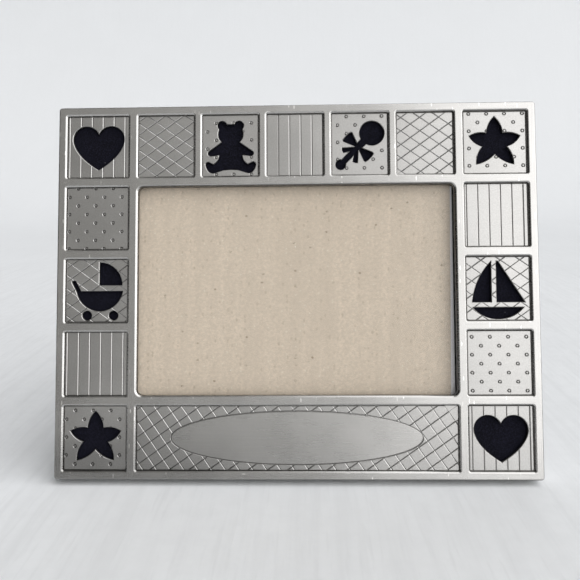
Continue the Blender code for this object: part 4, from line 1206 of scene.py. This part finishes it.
def pocket_shape(face, cell, ring):
    """The whole shape that is sunk into the face for one cell: its pocket, its dots and its icon."""
    bm = bmesh.new()
    add_pocket(bm, face, cell)
    pocket = new_item("pocket", bm)
    if cell.pattern == "dots":
        dots = bmesh.new()
        for x, y in dot_centres(face, cell):
            count = len(dots.verts)
            dots.from_mesh(ring)
            dots.verts.ensure_lookup_table()
            bmesh.ops.translate(dots, verts=dots.verts[count:], vec=(x, y, FLOOR_Z))
        combine(pocket, dots, "UNION")
    if cell.icon:
        icon = icon_outlines(face, cell)
        soft = face.cut_edge
        slope = plate(icon, -soft, 3 * soft, soft, soft - 0.03 * MM, 0)
        bmesh.ops.scale(slope, vec=(1.0, 1.0, CUT_STEEPNESS), verts=slope.verts)
        bmesh.ops.translate(slope, verts=slope.verts, vec=(0.0, 0.0, FLOOR_Z + 0.01 * MM))
        combine(pocket, plate(icon, FACE_REAR - OVERCUT, -OVERCUT / 2), "UNION")
        combine(pocket, slope, "UNION")
    if cell.pattern == "lattice":
        oval = oval_points(face, cell, GAP / 2, 0.5)
        combine(pocket, plate([oval], FLOOR_Z - 0.6 * MM, FLOOR_Z + 0.05 * MM))
        combine(pocket, tube_along(oval_points(face, cell), OVAL_GROOVE_Z, OVAL_GROOVE_RADIUS), "UNION")
    mesh = pocket.data
    bpy.data.objects.remove(pocket, do_unlink=True)
    return mesh


def cast_front_solid(face):
    """The cast metal front: face, ribs, cells, window and the skirt round the back."""
    plan = face_layout(face)
    block = bmesh.new()
    add_rounded_block(block, 0, plan.middle_y, face.width, face.height, SKIRT_REAR, 0.0, OUTER_CORNER)
    for level, radius, segments in ((0.0, TOP_ROUND, 5), (SKIRT_REAR, REAR_ROUND, 3)):
        rim = [e for e in block.edges if all(abs(v.co.z - level) < 1e-6 for v in e.verts)]
        round_edges(block, rim, radius, segments)
    casting = new_item("cast_front", block)

    tray = bmesh.new()
    width, height = face.width - 2 * SKIRT_THICKNESS, face.height - 2 * SKIRT_THICKNESS
    add_rounded_block(
        tray, 0, plan.middle_y, width, height, SKIRT_REAR - OVERCUT, FACE_REAR, TRAY_CORNER, segments=3
    )
    combine(casting, tray)

    window = bmesh.new()
    width, height = plan.inner_width, plan.window_height
    sill = add_rounded_block(
        window, 0, plan.middle_y, width, height, 0.0, OVERCUT, face.window_corner, segments=10
    )
    sink(window, sill, face.lip_round, plan.window_run, -FACE_REAR + OVERCUT)
    combine(casting, window)

    ring = dot_ring(face)
    for cell in (*face_cells(face), bottom_panel(face)):
        opening = bmesh.new()
        opening.from_mesh(pocket_shape(face, cell, ring))
        combine(casting, opening)
    return casting


def hinge_rivets(side):
    """Where a hinge leaf's two rivets go: side is 1 for the board's leaf and -1 for the leg's."""
    y = side * (KNUCKLE_CLEAR + LEAF_HEIGHT - RIVET_INSET)
    return [(-RIVET_SPACING / 2, y), (RIVET_SPACING / 2, y)]


def rivet_holes(side):
    """The outlines of the holes for a hinge leaf's rivets."""
    return [circle(x, y, RIVET_HOLE, 24) for x, y in hinge_rivets(side)]


def rims(bm):
    """The edges round both ends of a cylinder along X."""
    return [e for e in bm.edges if abs(e.verts[0].co.x - e.verts[1].co.x) < 1e-7]


def button_places(face):
    """Where the turn buttons' screws go, and which way each button points."""
    plan = face_layout(face)
    x = plan.glass_width / 2 - BUTTON_INSET
    y = plan.glass_height / 2 + POCKET_CLEARANCE + BUTTON_OUTSET
    return {
        "top_left": (-x, plan.middle_y + y, math.pi),
        "top_right": (x, plan.middle_y + y, math.pi),
        "bottom_left": (-x, plan.middle_y - y, 0.0),
        "bottom_right": (x, plan.middle_y - y, 0.0),
    }


def leaf_solid(name, outline, low, high, knuckles, side):
    """One hinge leaf: a plate with soft edges, rolled into knuckles that are bored for the pin."""
    item = new_item(name, plate([outline, *rivet_holes(side)], low, high, 0.12 * MM))
    for start, end in knuckles:
        barrel = bmesh.new()
        add_cylinder(barrel, BARREL_RADIUS, start, end, 48, "X")
        round_edges(barrel, rims(barrel), 0.15 * MM, 2)
        combine(item, barrel, "UNION")
    bore = bmesh.new()
    add_cylinder(bore, BORE_RADIUS, -LEAF_WIDTH, LEAF_WIDTH, 32, "X")
    combine(item, bore)
    return item


def screw_solid(hardware, x, y):
    """A pan-head screw with a cross recess and its shank."""
    radius, height = hardware.head_radius, hardware.head_height
    front = BUTTON_FRONT - hardware.button_thickness - GAP
    dome = [(0.0, 1.0), (0.35, 0.99), (0.62, 0.93), (0.82, 0.78), (0.94, 0.55), (0.99, 0.25), (1.0, 0.1)]
    dome = [(radius * r, front - height * h) for r, h in [*dome, (0.97, 0.0)]]
    tip = front + SCREW_REACH
    shank = [(SCREW_SHANK, front), (SCREW_SHANK, tip - 0.4 * MM), (SCREW_TIP, tip), (0.0, tip)]
    screw = new_item("screw", turned([*dome, *shank]))
    arm, width = 1.4 * MM, 0.3 * MM
    corner = [(arm, -width * 0.7), (arm, width * 0.7), (width * 1.3, width)]
    quarters = ((1, 0), (0, 1), (-1, 0), (0, -1))
    cross = [(u * c - v * s, u * s + v * c) for c, s in quarters for u, v in corner]
    patina_and_painted_shade = plate([cross], front - height - OVERCUT, front - height + 0.6 * MM)
    deep = [vert for vert in patina_and_painted_shade.verts if vert.co.z > front - height]
    bmesh.ops.scale(patina_and_painted_shade, vec=(0.55, 0.55, 1.0), verts=deep)
    combine(screw, patina_and_painted_shade)
    screw.data.transform(Matrix.Translation((x, y, 0.0)))
    return screw


def rivet_solid(hardware, head_side, reach, x, y):
    """A domed rivet whose shank runs forward from the front of its head."""
    radius, height = hardware.rivet_radius, hardware.rivet_height
    dome = [(0.0, 1.0), (0.3, 0.97), (0.55, 0.87), (0.76, 0.68), (0.9, 0.42), (0.98, 0.15), (1.0, 0.0)]
    tip = head_side + reach
    shank = [(RIVET_SHANK, head_side), (RIVET_SHANK, tip), (0.0, tip)]
    bm = turned([*[(radius * r, head_side - height * h) for r, h in dome], *shank], 32)
    bmesh.ops.translate(bm, verts=bm.verts, vec=(x, y, 0.0))
    return bm


def leg_outline(hardware, foot):
    """The leg's outline, wider at the foot."""
    upper, lower, corner = hardware.leg_top / 2, hardware.leg_foot / 2, hardware.leg_corner
    right = [(lower - corner + x, foot + corner + y) for x, y in arc(0, 0, corner, -90, -5, corner / 8)]
    bend_x, bend_y = upper - LEG_SHOULDER, -KNUCKLE_CLEAR - LEG_SHOULDER
    shoulder = [(bend_x + x, bend_y + y) for x, y in arc(0, 0, LEG_SHOULDER, 5, 90, 0.25 * MM)]
    half = [*right, *shoulder]
    return joined(half, [(-x, y) for x, y in reversed(half)], least=0.01 * MM)


def sweep_shape():
    """A floor that curves up into a backdrop."""
    bm = bmesh.new()
    front = bm.edges.new([bm.verts.new((x, SWEEP_FRONT, 0.0)) for x in (-SWEEP_HALF, SWEEP_HALF)])
    flat = bmesh.ops.extrude_edge_only(bm, edges=[front])["geom"]
    reach = (0.0, SWEEP_REAR - SWEEP_FRONT, 0.0)
    bmesh.ops.translate(bm, verts=of_kind(flat, bmesh.types.BMVert), vec=reach)
    rear = [e for e in of_kind(flat, bmesh.types.BMEdge) if all(v.co.y > 0.0 for v in e.verts)]
    curve = bmesh.ops.spin(
        bm,
        geom=[*rear, *rear[0].verts],
        cent=(0.0, SWEEP_REAR, SWEEP_RADIUS),
        axis=(1.0, 0.0, 0.0),
        angle=math.pi / 2,
        steps=24,
    )["geom_last"]
    raised = bmesh.ops.extrude_edge_only(bm, edges=of_kind(curve, bmesh.types.BMEdge))["geom"]
    bmesh.ops.translate(bm, verts=of_kind(raised, bmesh.types.BMVert), vec=(0.0, 0.0, SWEEP_RISE))
    bmesh.ops.recalc_face_normals(bm, faces=bm.faces)
    return bm


# Operators


class PHOTOFRAME_OT_cast_front(bpy.types.Operator):
    """Model the cast front with its cells, patterns and icon openings"""

    bl_idname = "photoframe.cast_front"
    bl_label = "Cast Front"
    bl_options = {"REGISTER", "UNDO"}

    def execute(self, context):
        face = context.scene.photoframe_face
        casting = cast_front_solid(face)
        metal = satin_pewter(face)
        finish_piece(casting, stance(face), metal, "frame", ["front_casting"], angle=26.0)
        return {"FINISHED"}


class PHOTOFRAME_OT_backing(bpy.types.Operator):
    """Finish the velvet, boards, flocked paper, card and glass behind the face"""

    bl_idname = "photoframe.backing"
    bl_label = "Backing, Card and Glass"
    bl_options = {"REGISTER", "UNDO"}

    def execute(self, context):
        face = context.scene.photoframe_face
        backing = context.scene.photoframe_backing
        board = hardboard(face, backing.board)
        flock = pile("flocked_paper", face, backing.flock, 0.25)
        dress("velvet_liner", pile("icon_velvet", face, backing.velvet, 0.05))
        dress("corrugated_filler", kraft_card(face, backing))
        dress("glass_pane", clear_glass(face, backing.glass))
        for node in ("backing_ring", "back_board"):
            dress(node, board)
        for node in ("ring_felt", "board_felt", "leg_felt"):
            dress(node, flock)
        return {"FINISHED"}


class PHOTOFRAME_OT_easel_leg(bpy.types.Operator):
    """Model the easel leg with its rounded edges and slanting foot"""

    bl_idname = "photoframe.easel_leg"
    bl_label = "Easel Leg"
    bl_options = {"REGISTER", "UNDO"}

    def execute(self, context):
        face = context.scene.photoframe_face
        hardware = context.scene.photoframe_hardware
        hinge = hinge_place(face).translation
        drop = hinge.y * math.cos(LEAN) + (hinge.z - SKIRT_REAR) * math.sin(LEAN)
        foot = -drop / math.cos(FOOT_TILT) + LEG_FRONT * math.tan(FOOT_TILT)
        bm = plate([leg_outline(hardware, foot), *rivet_holes(-1)], LEG_REAR, LEG_FRONT, 0.4 * MM)
        for vert in bm.verts:
            if vert.co.y < foot + hardware.leg_corner + 0.1 * MM:
                vert.co.y += (vert.co.z - LEG_FRONT) * math.tan(FOOT_TILT)
        leg = new_item("leg_board", bm)
        finish = bpy.data.materials["dark_hardboard"]
        finish_piece(leg, stance(face) @ leg_place(face), finish, "leg", ["easel_leg"])
        return {"FINISHED"}


class PHOTOFRAME_OT_hinge(bpy.types.Operator):
    """Model the hinge: two rolled leaves, the pin and four rivets"""

    bl_idname = "photoframe.hinge"
    bl_label = "Hinge and Rivets"
    bl_options = {"REGISTER", "UNDO"}

    def execute(self, context):
        face = context.scene.photoframe_face
        hardware = context.scene.photoframe_hardware
        steel = nickel_steel(face, hardware)
        on_board = stance(face) @ hinge_place(face)
        on_leg = stance(face) @ leg_place(face)
        half, split_x = LEAF_WIDTH / 2, KNUCKLE_LENGTH / 2
        near, far = KNUCKLE_CLEAR, KNUCKLE_CLEAR + LEAF_HEIGHT
        inner, outer = LEAF_OFFSET, LEAF_OFFSET + LEAF_THICKNESS
        corner_x, corner_y = half - LEAF_CORNER, far - LEAF_CORNER

        rounded = [(corner_x + x, corner_y + y) for x, y in arc(0, 0, LEAF_CORNER, 0, 90, 0.2 * MM)]
        right = [(split_x + GAP, near), (split_x + GAP, 0.0), (half, 0.0), *rounded]
        outline = [*right, *[(-x, y) for x, y in reversed(right)]]
        knuckles = [(-half, -split_x - GAP), (split_x + GAP, half)]
        board_leaf = leaf_solid("hinge_board_leaf", outline, inner, outer, knuckles, 1)
        finish_piece(board_leaf, on_board, steel, "frame", ["hinge_leaf_board"])

        rounded = [(corner_x + x, y - corner_y) for x, y in arc(0, 0, LEAF_CORNER, -90, 0, 0.2 * MM)]
        right = [*rounded, (half, -near), (split_x, -near), (split_x, STOP_TAIL)]
        outline = [*right, *[(-x, y) for x, y in reversed(right)]]
        leg_leaf = leaf_solid("hinge_leg_leaf", outline, -outer, -inner, [(-split_x, split_x)], -1)
        finish_piece(leg_leaf, on_leg, steel, "leg", ["hinge_leaf_leg"])

        pin = bmesh.new()
        add_cylinder(pin, PIN_RADIUS, -half - PIN_END, half + PIN_END, 32, "X")
        round_edges(pin, rims(pin), 0.3 * MM, 3)
        finish_piece(new_item("hinge_pin_bar", pin), on_board, steel, "frame", ["hinge_pin"])

        rivets = [
            ("board", "frame", on_board, 1, LEAF_OFFSET - GAP, BOARD_RIVET_REACH),
            ("leg", "leg", on_leg, -1, -BARREL_RADIUS - GAP, LEG_RIVET_REACH),
        ]
        for part, body, matrix, side, head_side, reach in rivets:
            for i, (x, y) in enumerate(hinge_rivets(side), 1):
                rivet = new_item(f"{part}_dome_rivet_{i}", rivet_solid(hardware, head_side, reach, x, y))
                finish_piece(rivet, matrix, steel, body, [f"{part}_rivet_{i}"])
        return {"FINISHED"}


class PHOTOFRAME_OT_turn_buttons(bpy.types.Operator):
    """Model the four turn buttons and their screws"""

    bl_idname = "photoframe.turn_buttons"
    bl_label = "Turn Buttons and Screws"
    bl_options = {"REGISTER", "UNDO"}

    def execute(self, context):
        face = context.scene.photoframe_face
        hardware = context.scene.photoframe_hardware
        steel = bpy.data.materials["nickel_plated_steel"]
        half = hardware.button_width / 2
        ends = (arc(0, 0, half, 180, 360, half / 12), arc(0, hardware.button_reach, half, 0, 180, half / 12))
        outline = joined(*ends, least=0.01 * MM)
        low = BUTTON_FRONT - hardware.button_thickness
        for place, (x, y, turn) in button_places(face).items():
            bm = plate([outline, circle(0, 0, SCREW_HOLE)], low, BUTTON_FRONT, 0.2 * MM)
            button = new_item(f"pressed_turn_button_{place}", bm)
            matrix = stance(face) @ Matrix.Translation((x, y, 0.0)) @ Matrix.Rotation(turn, 4, "Z")
            finish_piece(button, matrix, steel, f"button_{place}", [f"turn_button_{place}"])
            screw = screw_solid(hardware, x, y)
            screw.name = f"cross_head_screw_{place}"
            finish_piece(screw, stance(face), steel, "frame", [f"button_screw_{place}"])
        return {"FINISHED"}


class PHOTOFRAME_OT_stage(bpy.types.Operator):
    """Set the pale floor and backdrop, the soft light and the camera"""

    bl_idname = "photoframe.stage"
    bl_label = "Studio"
    bl_options = {"REGISTER", "UNDO"}

    def execute(self, context):
        stage = context.scene.photoframe_stage
        scene = context.scene
        sweep = new_item("studio_sweep", sweep_shape())
        sweep.data.shade_smooth()
        sweep.data.materials.append(studio_paint(stage.floor))

        scene.world = soft_room(stage)
        camera = bpy.data.cameras.new("camera")
        camera.lens = stage.lens
        camera.sensor_width = 36.0
        camera.clip_start = 0.01
        viewer = bpy.data.objects.new("camera", camera)
        viewer.location = CAMERA_PLACE
        viewer.rotation_euler = [math.radians(angle) for angle in CAMERA_TURN]
        scene.collection.objects.link(viewer)
        scene.camera = viewer
        scene.view_settings.view_transform = "Standard"
        return {"FINISHED"}


class PHOTOFRAME_PT_pieces(bpy.types.Panel):
    """Lists the frame's sizes, colours and pieces"""

    bl_idname = "PHOTOFRAME_PT_pieces"
    bl_label = "Baby Photo Frame"
    bl_space_type = "VIEW_3D"
    bl_region_type = "UI"
    bl_category = "Photo Frame"

    def draw(self, context):
        scene = context.scene
        rows = [
            (scene.photoframe_face, CastFaceSettings, FACE_STEPS),
            (scene.photoframe_backing, BackingSettings, BACKING_STEPS),
            (scene.photoframe_hardware, HardwareSettings, HARDWARE_STEPS),
            (scene.photoframe_stage, StageSettings, STAGE_STEPS),
        ]
        for settings, kind, steps in rows:
            box = self.layout.box()
            for key in kind.__annotations__:
                box.prop(settings, key)
            for step in steps:
                box.operator(step.bl_idname)


FACE_STEPS = [PHOTOFRAME_OT_cast_front]
BACKING_STEPS = [PHOTOFRAME_OT_backing]
HARDWARE_STEPS = [PHOTOFRAME_OT_easel_leg, PHOTOFRAME_OT_hinge, PHOTOFRAME_OT_turn_buttons]
STAGE_STEPS = [PHOTOFRAME_OT_stage]
CLASSES = [
    CastFaceSettings,
    BackingSettings,
    HardwareSettings,
    StageSettings,
    *FACE_STEPS,
    *BACKING_STEPS,
    *HARDWARE_STEPS,
    *STAGE_STEPS,
    PHOTOFRAME_PT_pieces,
]


def register():
    """Register the classes and give the scene its settings."""
    for item in CLASSES:
        bpy.utils.register_class(item)
    bpy.types.Scene.photoframe_face = bpy.props.PointerProperty(type=CastFaceSettings)
    bpy.types.Scene.photoframe_backing = bpy.props.PointerProperty(type=BackingSettings)
    bpy.types.Scene.photoframe_hardware = bpy.props.PointerProperty(type=HardwareSettings)
    bpy.types.Scene.photoframe_stage = bpy.props.PointerProperty(type=StageSettings)


def unregister():
    """Take the settings and the classes away again."""
    del bpy.types.Scene.photoframe_face
    del bpy.types.Scene.photoframe_backing
    del bpy.types.Scene.photoframe_hardware
    del bpy.types.Scene.photoframe_stage
    for item in reversed(CLASSES):
        bpy.utils.unregister_class(item)


def main():
    """Dress the whole frame and set the studio."""
    register()
    bpy.ops.photoframe.cast_front()
    bpy.ops.photoframe.backing()
    bpy.ops.photoframe.easel_leg()
    bpy.ops.photoframe.hinge()
    bpy.ops.photoframe.turn_buttons()
    bpy.ops.photoframe.stage()


if __name__ == "__main__":
    main()
